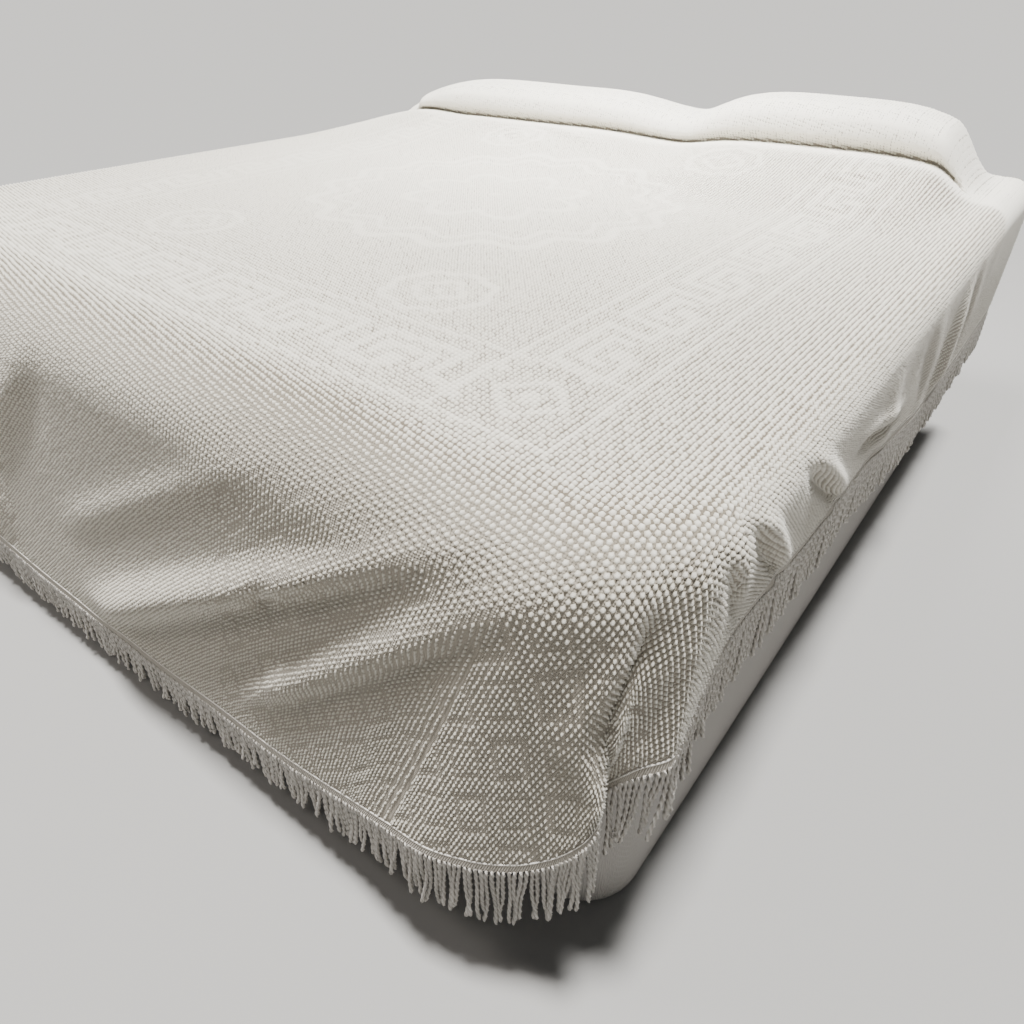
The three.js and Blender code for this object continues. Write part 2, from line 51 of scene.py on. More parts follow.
bl_info = {
    "name": "Candlewick bedspread",
    "version": (1, 0, 0),
    "blender": (4, 5, 0),
    "location": "3D View > Sidebar > Bedspread",
    "description": "Makes a tufted cotton bedspread with a twisted fringe on a plain bed",
    "category": "Object",
}

# The bed. The drape is worked out in millimetres from the middle of the mattress, as the solids are
MM = 0.001
MATTRESS_LOW, MATTRESS_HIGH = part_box("mattress")
BED_MIDDLE = (MATTRESS_LOW + MATTRESS_HIGH) / 2
HALF_X, HALF_Y = (round(side / 2 / MM) for side in (MATTRESS_HIGH - MATTRESS_LOW).xy)
TOP = MATTRESS_HIGH.z / MM
CORNER = 120.0
CORNER_ARC = CORNER * math.pi / 2
FOOT_HALF = HALF_X - CORNER
FOOT_RUN = 2 * FOOT_HALF
SIDE_END = HALF_Y - CORNER

# The cloth
CLOTH_GAP = 2.0
CLOTH_LEVEL = TOP + CLOTH_GAP
CLOTH_HEAD = 1166.0
NEAR_OVERHANG = 300.0
LEAN_POWER = 1.15


# Places round the mattress edge, measured from where the near side meets the near corner
def near(v):
    return -(v + SIDE_END)


def near_corner(degrees):
    return CORNER_ARC * degrees / 90


def foot(x):
    return CORNER_ARC + FOOT_RUN / 2 - x


def far_corner(degrees):
    return CORNER_ARC + FOOT_RUN + CORNER_ARC * degrees / 90


def far(v):
    return 2 * CORNER_ARC + FOOT_RUN + v + SIDE_END


# The pillows and the span of cloth between them: middle across the bed, half width and height
HUMPS = np.array([(-400, 585, 136), (40, 420, 108), (505, 430, 173)], float)
HUMP_POWER = 4
HUMP_BLEND = 6
# Height of the tuck as a share of the pillow's, and where across the bed it is whole and where it is gone
TUCK_SHARE = 0.35
TUCK_SHARE_SLOPE = 0.0001
TUCK_FAR_RISE = 0.2
TUCK_FAR_RISE_SPAN = (650, HALF_X - 25)
TUCK_NEAR = (780, 915)
TUCK_FAR = (850, 924)

# Lengthwise section through the pillows, as in the solids. v is the length along the cloth. flat and fold
# are the place along the bed with no pillow and over one, lift and crest weigh the heights of tuck and
# pillow, and dip is how deep the tuck is
LENGTHWISE_COLUMNS = ("v", "flat", "fold", "lift", "crest", "dip")
LENGTHWISE = [
    (50, 50, 50, 0, 0, 0),
    (150, 150, 150, 0, 0, 0),
    (400, 400, 400, 0.42, 0, 0),
    (600, 600, 600, 0.95, 0, 0),
    (662, 642, 660, 1, 0, 3),
    (677, 652, 671, 1, 0, 15),
    (706, 672, 653, 1, 0.1, 0),
    (732, 690, 637, 1, 0.33, 0),
    (763, 711, 646, 1, 0.64, 0),
    (819, 749, 691, 1, 0.93, 0),
    (895, 801, 766, 1, 1, 0),
    (1026, 890, 890, 0.72, 0.72, 0),
    (1136, 965, 965, 0.14, 0.14, 0),
    (1166, 985, 985, 0, 0, 0),
]
LEVEL_TO = LENGTHWISE[1][0]

# The hem, read down the near side, round the foot and up the far side, as in the solids but rounder at the
# flap. x and y are its place, drop its depth below the top, swell how far the rolled edge stands out from
# the mattress, roll the radius it turns over and fringe the length of the strands there
HEM_COLUMNS = ("at", "x", "y", "drop", "swell", "roll", "fringe")
HEM = [
    (near(CLOTH_HEAD), 979, 985, 335, 30, 55, 105),
    (near(600), 978, 600, 335, 30, 55, 105),
    (near(150), 976, 150, 318, 30, 55, 105),
    (near(0), 976, 0, 286, 30, 55, 105),
    (near(-160), 976, -160, 252, 30, 55, 105),
    (near(-315), 976, -315, 218, 30, 55, 105),
    (near(-450), 976, -450, 214, 30, 55, 105),
    (near(-620), 976, -620, 202, 30, 55, 107),
    (near(-760), 976, -764, 182, 30, 55, 110),
    (near(-830), 976, -842, 176, 30, 56, 112),
    (near_corner(0), 977, -892, 188, 30, 58, 115),
    (near_corner(12), 979, -944, 236, 31, 62, 118),
    (near_corner(24), 981, -981, 266, 32, 65, 118),
    (near_corner(33), 950, -1009, 288, 33, 67, 118),
    (near_corner(42), 925, -1032, 318, 34, 70, 118),
    (near_corner(47), 934, -1045, 324, 35, 73, 118),
    (near_corner(51), 938, -1055, 339, 37, 75, 118),
    (near_corner(55), 932, -1063, 367, 39, 78, 118),
    (near_corner(59), 918, -1070, 397, 42, 82, 118),
    (near_corner(64), 892, -1083, 429, 45, 86, 118),
    (near_corner(68), 858, -1103, 448, 47, 88, 118),
    (near_corner(76), 800, -1127, 464, 52, 95, 114),
    (near_corner(84), 735, -1138, 482, 56, 102, 108),
    (foot(830), 680, -1135, 497, 58, 106, 102),
    (foot(700), 566, -1130, 530, 60, 110, 94),
    (foot(540), 430, -1130, 552, 60, 110, 88),
    (foot(340), 262, -1127, 566, 60, 110, 84),
    (foot(100), 55, -1128, 577, 60, 110, 84),
    (foot(-250), -265, -1130, 576, 60, 110, 86),
    (foot(-600), -608, -1128, 562, 58, 106, 92),
    (foot(-830), -830, -1120, 540, 54, 98, 98),
    (far_corner(30), -925, -1098, 490, 46, 84, 104),
    (far_corner(58), -994, -1040, 440, 38, 72, 106),
    (far_corner(90), -1005, -910, 388, 32, 62, 106),
    (far(-640), -988, -650, 355, 30, 56, 106),
    (far(-200), -980, -200, 340, 30, 55, 105),
    (far(600), -980, 600, 335, 30, 55, 105),
    (far(CLOTH_HEAD), -980, 985, 335, 30, 55, 105),
]

# Folds on the falls: start along the side and its depth, end and its depth, how far the fold stands out,
# and its width at the start and at the end. A hollow stands out by less than nothing
FOLDS = {
    "foot": [
        (790, 22, -140, 585, 29, 13, 36),
        (865, 37, 360, 491, 17, 16, 23),
        (490, 36, -160, 402, 8, 18, 26),
        (575, 258, 300, 500, -6, 12, 16),
        (478, 196, 398, 300, -9, 10, 12),
        (-120, 60, -420, 330, 16, 30, 40),
        (-760, 60, -420, 520, 22, 34, 44),
    ],
    "near": [
        (-300, 50, -190, 300, 6, 34, 40),
        (240, 50, 300, 330, 12, 40, 50),
    ],
    "far": [
        (-560, 50, -600, 340, 14, 40, 50),
        (60, 50, 20, 340, 13, 40, 50),
    ],
}
# Where along its length a fold, crease or wrinkle starts, is whole, starts to fade and is gone
FOLD_TAPER = (-0.05, 0.42, 0.78, 1.06)
CREASE_TAPER = (-0.25, 0.35, 0.6, 1.25)
WRINKLE_TAPER = (0, 0.45, 0.55, 1)
FOLD_START = 70.0
FOLD_BACK = 1.3
FOLD_UNDERCUT = 0.2
FOLD_UNDERCUT_AWAY = 1.7

# Creases where the cloth has buckled in below the near edge: start along the side and its depth, end and
# its depth, how deep the crease is and its width. A ridge stands on the head side of each
CREASES = [
    (-700, 46, -452, 220, 16, 13),
    (-874, 26, -700, 202, 15, 12),
    (-925, 40, -872, 140, 8, 14),
    (-410, 148, -140, 212, 10, 16),
    (-60, 90, 90, 240, 5, 32),
    (330, 90, 450, 250, 5, 38),
]
CREASE_RIDGE = 0.7
CREASE_RIDGE_AWAY = 1.35
CREASE_RIDGE_WIDE = 1.1

# Soft wrinkles on top: start and end in plan, height and width
WRINKLES = [
    (-660, 655, -110, 370, 6, 24),
    (-430, 625, 20, 470, 5, 20),
    (540, 445, 770, 535, 3.5, 15),
    (600, 275, 820, 345, 3.5, 16),
]

# The hollow beside the flap at the near corner: depth below the top and place round the corner in degrees,
# then how far its parts lie from that line in degrees, how wide they are and how far they stand out
HOLLOW = np.array([(60, 46), (123, 46), (158, 50), (203, 54), (241, 54), (318, 45)], float)
HOLLOW_PARTS = ((0, 4.5, -14), (9, 5, 6), (-13, 8, 6))
HOLLOW_START = (50, 150)

# How much of the fall above the hem is held flat by the fringe, and by how much
HEM_STILL = 0.12
HEM_PULL = 0.75
# Share of the drop below which the far pillow no longer lifts the fall
RIM_LIFT_END = 0.8
# A smaller bend of the rows beside the near hem counts as none
LEAST_BEND = 1e-9


class Track:
    """A smooth run through the rows of a table that never passes beyond neighbouring rows."""

    def __init__(self, rows, columns):
        table = np.array(rows, float)
        self.key = table[:, 0]
        self.columns = {name: table[:, k] for k, name in enumerate(columns)}
        self.slopes = {name: self.slope(values) for name, values in self.columns.items()}

    def slope(self, values):
        gap = np.diff(self.key)
        rise = np.diff(values) / gap
        slope = np.zeros(len(values))
        slope[0], slope[-1] = rise[0], rise[-1]
        before, after = rise[:-1], rise[1:]
        weight_before = 2 * gap[1:] + gap[:-1]
        weight_after = gap[1:] + 2 * gap[:-1]
        same = before * after > 0
        safe_before = np.where(same, before, 1)
        safe_after = np.where(same, after, 1)
        mean = (weight_before + weight_after) / (weight_before / safe_before + weight_after / safe_after)
        slope[1:-1] = np.where(same, mean, 0)
        return slope

    def read(self, name, at):
        at = np.clip(at, self.key[0], self.key[-1])
        i = np.clip(np.searchsorted(self.key, at, side="right") - 1, 0, len(self.key) - 2)
        gap = self.key[i + 1] - self.key[i]
        t = (at - self.key[i]) / gap
        values, slopes = self.columns[name], self.slopes[name]
        return (
            values[i] * (1 + 2 * t) * (1 - t) ** 2
            + slopes[i] * gap * t * (1 - t) ** 2
            + values[i + 1] * t * t * (3 - 2 * t)
            + slopes[i + 1] * gap * t * t * (t - 1)
        )


LENGTH_TRACK = Track(LENGTHWISE, LENGTHWISE_COLUMNS)
HEM_TRACK = Track(HEM, HEM_COLUMNS)


def smoothstep(value, low, high):
    t = np.clip((value - low) / (high - low), 0, 1)
    return t * t * (3 - 2 * t)


def taper(share, start, whole, fade, end):
    """A share of one between whole and fade, and of nothing before the start and after the end."""
    return smoothstep(share, start, whole) * (1 - smoothstep(share, fade, end))


def bell(off, width):
    return np.exp(-((off / width) ** 2))


def unit(ways):
    return ways / np.linalg.norm(ways, axis=-1, keepdims=True)


def along_line(x, y, start_x, start_y, end_x, end_y):
    """How far along a line places lie, as a share of its length, and how far off to one side of it."""
    run, rise = end_x - start_x, end_y - start_y
    length = math.hypot(run, rise)
    share = ((x - start_x) * run + (y - start_y) * rise) / length**2
    off = ((x - start_x) * rise - (y - start_y) * run) / length
    return share, off


def stretches(*parts):
    """Even steps along each stretch, given by its start, its end and the number of steps."""
    return np.concatenate([np.linspace(*part, endpoint=False) for part in parts])


# Numbers with no plain ratio between them, for a scatter that shows no order
SCATTER_WEIGHTS = (12.9898, 78.233, 37.719)
SCATTER_SCALE = 43758.5453


def scatter(*seeds):
    """A fixed scatter between 0 and 1, the same each run, from up to three whole numbers."""
    total = sum(np.asarray(seed, float) * weight for seed, weight in zip(seeds, SCATTER_WEIGHTS))
    wave = np.sin(total) * SCATTER_SCALE
    return wave - np.floor(wave)


def edge_at(at):
    """The mattress edge in plan, with the direction that faces out there."""
    at = np.asarray(at, float)
    near_v = -at - SIDE_END
    far_v = at - far(0)
    flat_near = np.where(near_v <= LEVEL_TO, near_v, LENGTH_TRACK.read("flat", near_v))
    flat_far = np.where(far_v <= LEVEL_TO, far_v, LENGTH_TRACK.read("flat", far_v))
    near_turn = -np.clip(at / CORNER, 0, math.pi / 2)
    far_turn = -math.pi / 2 - np.clip((at - far_corner(0)) / CORNER, 0, math.pi / 2)
    on_far = at >= far_corner(0)
    turn = np.where(on_far, far_turn, near_turn)
    nx, ny = np.cos(turn), np.sin(turn)
    x = np.where(on_far, -FOOT_HALF, FOOT_HALF) + CORNER * nx
    y = -SIDE_END + CORNER * ny
    on_foot = (at > CORNER_ARC) & (at < far_corner(0))
    x = np.where(on_foot, foot(0) - at, x)
    y = np.where(at < 0, flat_near, np.where(at > far_corner(90), flat_far, y))
    return x, y, nx, ny


def tucked_share(x):
    """How much of the tuck is left at x: all of it over the pillows, none at the long edges."""
    return np.where(x > 0, 1 - smoothstep(x, *TUCK_NEAR), 1 - smoothstep(-x, *TUCK_FAR))


def hump_height(x):
    """How high the pillows lift the cloth at x. The far one lifts it right up to the edge."""
    centre, half, crest = HUMPS.T
    reach = np.minimum(np.abs(x[..., None] - centre) / half, 1)
    total = np.sum((crest * (1 - reach**HUMP_POWER)) ** HUMP_BLEND, axis=-1)
    return total ** (1 / HUMP_BLEND) * np.where(x > 0, tucked_share(x), 1)


def wrinkle_height(x, y):
    """Soft wrinkles on top of the bed, below the tuck."""
    height = np.zeros(np.shape(x))
    for *line, high, width in WRINKLES:
        share, off = along_line(x, y, *line)
        height += high * taper(share, *WRINKLE_TAPER) * bell(off, width)
    return height


def top_point(a, b):
    """Places of the cloth on top of the bed, at a across and b along the cloth."""
    hump = hump_height(a)
    far_rise = TUCK_FAR_RISE * smoothstep(-a, *TUCK_FAR_RISE_SPAN)
    tuck = hump * (TUCK_SHARE + TUCK_SHARE_SLOPE * a + far_rise)
    folded = tucked_share(a)
    flat, fold, lift, crest, dip = (LENGTH_TRACK.read(name, b) for name in LENGTHWISE_COLUMNS[1:])
    over = b > LENGTHWISE[0][0]
    y = np.where(over, flat + folded * (fold - flat), b)
    z = np.where(over, lift * tuck + crest * (hump - tuck) - folded * dip, 0)
    return np.stack([a, y, CLOTH_LEVEL + z + wrinkle_height(a, y)], axis=-1)


def rim_reach(at):
    """How far out the roll over the edge starts, from the mattress edge."""
    return HEM_TRACK.read("swell", at) - HEM_TRACK.read("roll", at)


def rim_lift(at):
    """How far the far pillow lifts the cloth where it rolls over the far edge."""
    on_far = at > far_corner(90)
    lifted = top_point(-HALF_X - rim_reach(at), np.where(on_far, at - far(0), 0))[..., 2]
    return np.where(on_far, lifted - CLOTH_LEVEL, 0)


def fold_push(side, along, depth):
    """How far folds and hollows push the cloth out on one side."""
    push = np.zeros(np.shape(along))
    for start, start_depth, end, end_depth, height, start_width, end_width in FOLDS[side]:
        run, fall = end - start, end_depth - start_depth
        share = ((along - start) * run + (depth - start_depth) * fall) / (run * run + fall * fall)
        nearest = np.clip(share, 0, 1)
        off_along = along - start - nearest * run
        off_depth = depth - start_depth - nearest * fall
        off = np.hypot(off_along, off_depth) * np.where(off_depth < 0, -1, 1)
        width = start_width + (end_width - start_width) * nearest
        ridge = bell(off, np.where(off < 0, FOLD_BACK * width, width))
        trough = bell(off - FOLD_UNDERCUT_AWAY * width, width)
        push += height * taper(share, *FOLD_TAPER) * (ridge - FOLD_UNDERCUT * trough)
    if side == "near":
        push += crease_push(along, depth)
    return push * smoothstep(depth, 0, FOLD_START)


def crease_push(along, depth):
    """Slanted troughs below the near edge, each with a ridge on its head side."""
    push = np.zeros(np.shape(along))
    for *line, deep, width in CREASES:
        share, off = along_line(along, depth, *line)
        ridge = bell(off - CREASE_RIDGE_AWAY * width, CREASE_RIDGE_WIDE * width)
        push += deep * taper(share, *CREASE_TAPER) * (CREASE_RIDGE * ridge - bell(off, width))
    return push


def hollow_push(at, depth):
    """A hollow down the near corner with a ridge to either side."""
    degrees = 90 * at / CORNER_ARC
    middle = np.interp(depth, *HOLLOW.T)
    push = sum(high * bell(degrees - middle - off, width) for off, width, high in HOLLOW_PARTS)
    return push * smoothstep(depth, *HOLLOW_START)


def fall_length(at):
    """Length of the cloth below its roll over the edge, and in all from the rim to the hem."""
    x, y, nx, ny = edge_at(at)
    swell, roll, drop = (HEM_TRACK.read(name, at) for name in ("swell", "roll", "drop"))
    lean_x = HEM_TRACK.read("x", at) - x - nx * swell
    lean_y = HEM_TRACK.read("y", at) - y - ny * swell
    straight = np.sqrt((drop - roll) ** 2 + lean_x**2 + lean_y**2)
    return straight, straight + roll * math.pi / 2


def fall_point(at, s):
    """Places of the falling cloth at lengths s below the rim."""
    edge_x, edge_y, nx, ny = edge_at(at)
    swell, roll, drop = (HEM_TRACK.read(name, at) for name in ("swell", "roll", "drop"))
    straight, _ = fall_length(at)
    turn = np.clip(s / roll, 0, math.pi / 2)
    fall = np.maximum(s - roll * math.pi / 2, 0) / straight
    out = swell - roll + roll * np.sin(turn)
    depth = roll * (1 - np.cos(turn)) + fall * (drop - roll)
    lean = (depth / drop) ** LEAN_POWER
    x = edge_x + nx * out + lean * (HEM_TRACK.read("x", at) - edge_x - nx * swell)
    y = edge_y + ny * out + lean * (HEM_TRACK.read("y", at) - edge_y - ny * swell)
    foot_share = ny**2
    side_push = np.where(nx > 0, fold_push("near", y, depth), fold_push("far", y, depth))
    push = foot_share * fold_push("foot", x, depth) + (1 - foot_share) * side_push + hollow_push(at, depth)
    push = push * (1 - HEM_PULL * smoothstep(depth / drop, 1 - HEM_STILL, 1))
    lift = rim_lift(at) * (1 - smoothstep(depth / drop, 0, RIM_LIFT_END))
    return np.stack([x + nx * push, y + ny * push, CLOTH_LEVEL - depth + lift], axis=-1)


def cloth_of_fall(at, s):
    """Cloth coordinates of a place on the fall. Rows beside the near hem follow it."""
    x, y, nx, ny = edge_at(at)
    _, whole = fall_length(at)
    on_near = at < 0
    length = np.where(on_near, s + (NEAR_OVERHANG - whole) * (s / whole) ** 2, s)
    reach = rim_reach(at) + length
    v = np.where(on_near, -at - SIDE_END, np.where(at > far_corner(90), at - far(0), y + ny * reach))
    return x + nx * reach, v


def place_of_cloth(a, b):
    """Where cloth coordinates lie: the place round the edge, the length below the rim as it hangs, the
    length there from rim to hem, and the length below the rim along the cloth."""
    past_x = np.abs(a) - FOOT_HALF
    past_y = -b - SIDE_END
    in_corner = (past_x > 0) & (past_y > 0)
    angle = np.arctan2(past_y, past_x)
    corner_at = np.where(a > 0, CORNER * angle, far_corner(0) + CORNER * (math.pi / 2 - angle))
    on_side = (past_x > 0) & ~in_corner
    side_at = np.where(a > 0, near(b), far(b))
    foot_at = foot(np.clip(a, -FOOT_HALF, FOOT_HALF))
    at = np.where(in_corner, corner_at, np.where(on_side, side_at, foot_at))
    past = np.where(in_corner, np.hypot(past_x, past_y), np.where(on_side, past_x, past_y))
    length = past - CORNER - rim_reach(at)
    _, whole = fall_length(at)
    bend = np.where(at < 0, (NEAR_OVERHANG - whole) / whole**2, 0)
    even = np.abs(bend) < LEAST_BEND
    bend = np.where(even, LEAST_BEND, bend)
    root = np.sqrt(np.maximum(1 + 4 * bend * length, 0))
    s = np.where(even, length, (root - 1) / (2 * bend))
    return at, s, whole, length


def cloth_point(a, b):
    """Places of cloth coordinates in the bed's millimetres."""
    at, s, whole, length = place_of_cloth(a, b)
    falls = fall_point(at, np.clip(s, 0, whole))
    return np.where((length > 0)[..., None], falls, top_point(a, b))


def in_frame(points):
    """Bed millimetres as metres in the shared frame."""
    return points * MM + np.array([BED_MIDDLE.x, BED_MIDDLE.y, 0])


# Meshes from arrays. Points closer than this, in metres, share a place
SAME_PLACE = 0.00005


def mesh_object(name, points, faces, groove=None, flat=0):
    """A mesh object from arrays, with one array of faces for each number of corners and a painted shade a
    point.

    The first faces, as many as flat says, keep sharp edges, and the rest are smooth.
    """
    mesh = bpy.data.meshes.new(name)
    points = np.asarray(points, np.float32).reshape(-1, 3)
    faces = [np.asarray(block, np.int32) for block in faces]
    corners = np.concatenate([block.ravel() for block in faces])
    totals = np.concatenate([np.full(len(block), block.shape[1], np.int32) for block in faces])
    starts = np.concatenate([[0], np.cumsum(totals)[:-1]]).astype(np.int32)
    mesh.vertices.add(len(points))
    mesh.vertices.foreach_set("co", points.ravel())
    mesh.loops.add(len(corners))
    mesh.loops.foreach_set("vertex_index", corners)
    mesh.polygons.add(len(totals))
    mesh.polygons.foreach_set("loop_start", starts)
    mesh.update(calc_edges=True)
    mesh.validate()
    mesh.polygons.foreach_set("use_smooth", np.arange(len(mesh.polygons)) >= flat)
    if groove is not None:
        layer = mesh.attributes.new("groove", "FLOAT", "POINT")
        layer.data.foreach_set("value", np.asarray(groove, np.float32).ravel())
    obj = bpy.data.objects.new(name, mesh)
    bpy.context.scene.collection.objects.link(obj)
    return obj


def set_uv(obj, values):
    """A UV map from one pair of values for each point."""
    mesh = obj.data
    layer = mesh.uv_layers.new(name="cloth")
    index = np.zeros(len(mesh.loops), np.int32)
    mesh.loops.foreach_get("vertex_index", index)
    layer.data.foreach_set("uv", np.asarray(values, np.float32).reshape(-1, 2)[index].ravel())


def grid_faces(rows, columns):
    index = np.arange(rows * columns).reshape(rows, columns)
    corners = [index[:-1, :-1], index[:-1, 1:], index[1:, 1:], index[1:, :-1]]
    return np.stack(corners, axis=-1).reshape(-1, 4)


def tube_faces(rings, sides):
    """Faces of a tube with the given rings of points, open at its ends."""
    index = np.arange(rings * sides).reshape(rings, sides)
    after = np.roll(index, -1, axis=1)
    return np.stack([index[:-1], index[1:], after[1:], after[:-1]], axis=-1).reshape(-1, 4)


def only(obj):
    """Select one object alone and make it active."""
    bpy.ops.object.select_all(action="DESELECT")
    obj.select_set(True)
    bpy.context.view_layer.objects.active = obj


def join_doubles(obj):
    """Join points that share a place, as where the two halves of the cloth meet along its middle."""
    only(obj)
    bpy.ops.object.mode_set(mode="EDIT")
    bpy.ops.mesh.select_all(action="SELECT")
    bpy.ops.mesh.remove_doubles(threshold=SAME_PLACE)
    bpy.ops.object.mode_set(mode="OBJECT")


def thicken(obj, thickness):
    only(obj)
    solid = obj.modifiers.new("Thickness", "SOLIDIFY")
    solid.thickness = thickness
    solid.offset = -1
    bpy.ops.object.modifier_apply(modifier=solid.name)


def finish_piece(obj, material):
    obj.data.materials.clear()
    obj.data.materials.append(material)
    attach(obj, "root")


# Materials

# Painted shade: how the yarn darkens towards the bottom of a groove, and the colour it darkens by
GROOVE_SHADE_POWER = 1.5
GROOVE_SHADE_COLOUR = (0.4, 0.37, 0.325)
# Shares of broad and fine mottling in the yarn's colour, and the scale of the broad one
BROAD_SHARE = 0.6
FINE_SHARE = 0.4
BROAD_SCALE = 5.0
BROAD_DETAIL = 3.0
FINE_DETAIL = 2.0
# The soft shine of cotton, and the depth of its bumps in metres
SPECULAR = 0.25
SHEEN = 0.15
SHEEN_ROUGHNESS = 0.6
BUMP_DEPTH = 0.001
# Crosswise threads beside the ribs: pitch and height as shares of the ribs', and the yarn's own share
WEFT_PITCH = 0.8
WEFT_HEIGHT = 0.35
RIBBED_YARN = 0.3
YARN_SOCKETS = (
    ("Colour", "INPUT", "NodeSocketColor"),
    ("Shade", "INPUT", "NodeSocketColor"),
    ("Scale", "INPUT", "NodeSocketFloat"),
    ("Groove", "INPUT", "NodeSocketFloat"),
    ("Colour", "OUTPUT", "NodeSocketColor"),
    ("Height", "OUTPUT", "NodeSocketFloat"),
)


def node(tree, kind, **values):
    made = tree.nodes.new(kind)
    for key, value in values.items():
        setattr(made, key, value)
    return made


def math_node(tree, operation, first, second=None):
    made = node(tree, "ShaderNodeMath", operation=operation)
    for socket, value in zip(made.inputs, (first, second)):
        if value is None:
            continue
        if hasattr(value, "is_output"):
            tree.links.new(value, socket)
        else:
            socket.default_value = value
    return made.outputs[0]


def mix_node(tree, factor, first, second):
    """A mix of two colours. Its colour sockets share their names with others, so they go by number."""
    made = node(tree, "ShaderNodeMix", data_type="RGBA")
    for socket, source in (("Factor", factor), (6, first), (7, second)):
        tree.links.new(source, made.inputs[socket])
    return made.outputs[2]


def yarn_group():
    """Fine mottling of cotton yarn, with painted shade at the bottom of grooves: a tint for the colour and
    a height for the bump.
    """
    name = "Cotton yarn"
    if name in bpy.data.node_groups:
        return bpy.data.node_groups[name]
    tree = bpy.data.node_groups.new(name, "ShaderNodeTree")
    for socket, way, kind in YARN_SOCKETS:
        tree.interface.new_socket(socket, in_out=way, socket_type=kind)
    source = node(tree, "NodeGroupInput")
    sink = node(tree, "NodeGroupOutput")
    coords = node(tree, "ShaderNodeTexCoord")
    broad = node(tree, "ShaderNodeTexNoise")
    broad.inputs["Scale"].default_value = BROAD_SCALE
    broad.inputs["Detail"].default_value = BROAD_DETAIL
    fine = node(tree, "ShaderNodeTexNoise")
    fine.inputs["Detail"].default_value = FINE_DETAIL
    tree.links.new(source.outputs["Scale"], fine.inputs["Scale"])
    for noise in (broad, fine):
        tree.links.new(coords.outputs["Object"], noise.inputs["Vector"])
    broad_part = math_node(tree, "MULTIPLY", broad.outputs["Fac"], BROAD_SHARE)
    fine_part = math_node(tree, "MULTIPLY", fine.outputs["Fac"], FINE_SHARE)
    share = math_node(tree, "ADD", broad_part, fine_part)
    tint = mix_node(tree, share, source.outputs["Shade"], source.outputs["Colour"])
    # Painted shade: the tint darkens towards the groove shade colour where the groove shade value is high
    deep = node(tree, "ShaderNodeVectorMath", operation="MULTIPLY")
    deep.inputs[1].default_value = GROOVE_SHADE_COLOUR
    tree.links.new(tint, deep.inputs[0])
    depth = math_node(tree, "POWER", source.outputs["Groove"], GROOVE_SHADE_POWER)
    tree.links.new(mix_node(tree, depth, tint, deep.outputs[0]), sink.inputs["Colour"])
    tree.links.new(fine.outputs["Fac"], sink.inputs["Height"])
    return tree


def cotton(name, colour, shade, grain, bump, roughness=0.95, ribs=None, groove_shaded=False):
    """Cotton cloth or yarn. shade is how much of the colour is left in its mottling.

    ribs is the pitch of fine lengthwise ribs on the cloth's own map, with their depth. Groove-shaded yarn
    is painted darker, as shade, where the mesh's groove shade value is high.
    """
    material = bpy.data.materials.new(name)
    material.use_nodes = True
    tree = material.node_tree
    shader = tree.nodes["Principled BSDF"]
    shader.inputs["Roughness"].default_value = roughness
    shader.inputs["Specular IOR Level"].default_value = SPECULAR
    shader.inputs["Sheen Weight"].default_value = SHEEN
    shader.inputs["Sheen Roughness"].default_value = SHEEN_ROUGHNESS
    yarn = node(tree, "ShaderNodeGroup", node_tree=yarn_group())
    yarn.inputs["Colour"].default_value = (*colour, 1)
    yarn.inputs["Shade"].default_value = (*(shade * part for part in colour), 1)
    yarn.inputs["Scale"].default_value = grain
    tree.links.new(yarn.outputs["Colour"], shader.inputs["Base Color"])
    if groove_shaded:
        groove = node(tree, "ShaderNodeAttribute", attribute_name="groove")
        tree.links.new(groove.outputs["Fac"], yarn.inputs["Groove"])
    height = yarn.outputs["Height"]
    if ribs:
        pitch, depth = ribs
        uv = node(tree, "ShaderNodeUVMap", uv_map="cloth")
        split = node(tree, "ShaderNodeSeparateXYZ")
        tree.links.new(uv.outputs["UV"], split.inputs[0])
        across = math_node(tree, "MULTIPLY", split.outputs["X"], 2 * math.pi / pitch)
        along = math_node(tree, "MULTIPLY", split.outputs["Y"], 2 * math.pi / (pitch * WEFT_PITCH))
        weft = math_node(tree, "MULTIPLY", math_node(tree, "SINE", along), WEFT_HEIGHT)
        weave = math_node(tree, "ADD", math_node(tree, "SINE", across), weft)
        yarn_part = math_node(tree, "MULTIPLY", height, RIBBED_YARN)
        height = math_node(tree, "ADD", yarn_part, math_node(tree, "MULTIPLY", weave, depth))
    relief = node(tree, "ShaderNodeBump")
    relief.inputs["Strength"].default_value = bump
    relief.inputs["Distance"].default_value = BUMP_DEPTH
    tree.links.new(height, relief.inputs["Height"])
    tree.links.new(relief.outputs["Normal"], shader.inputs["Normal"])
    return material


# Sizes and colours


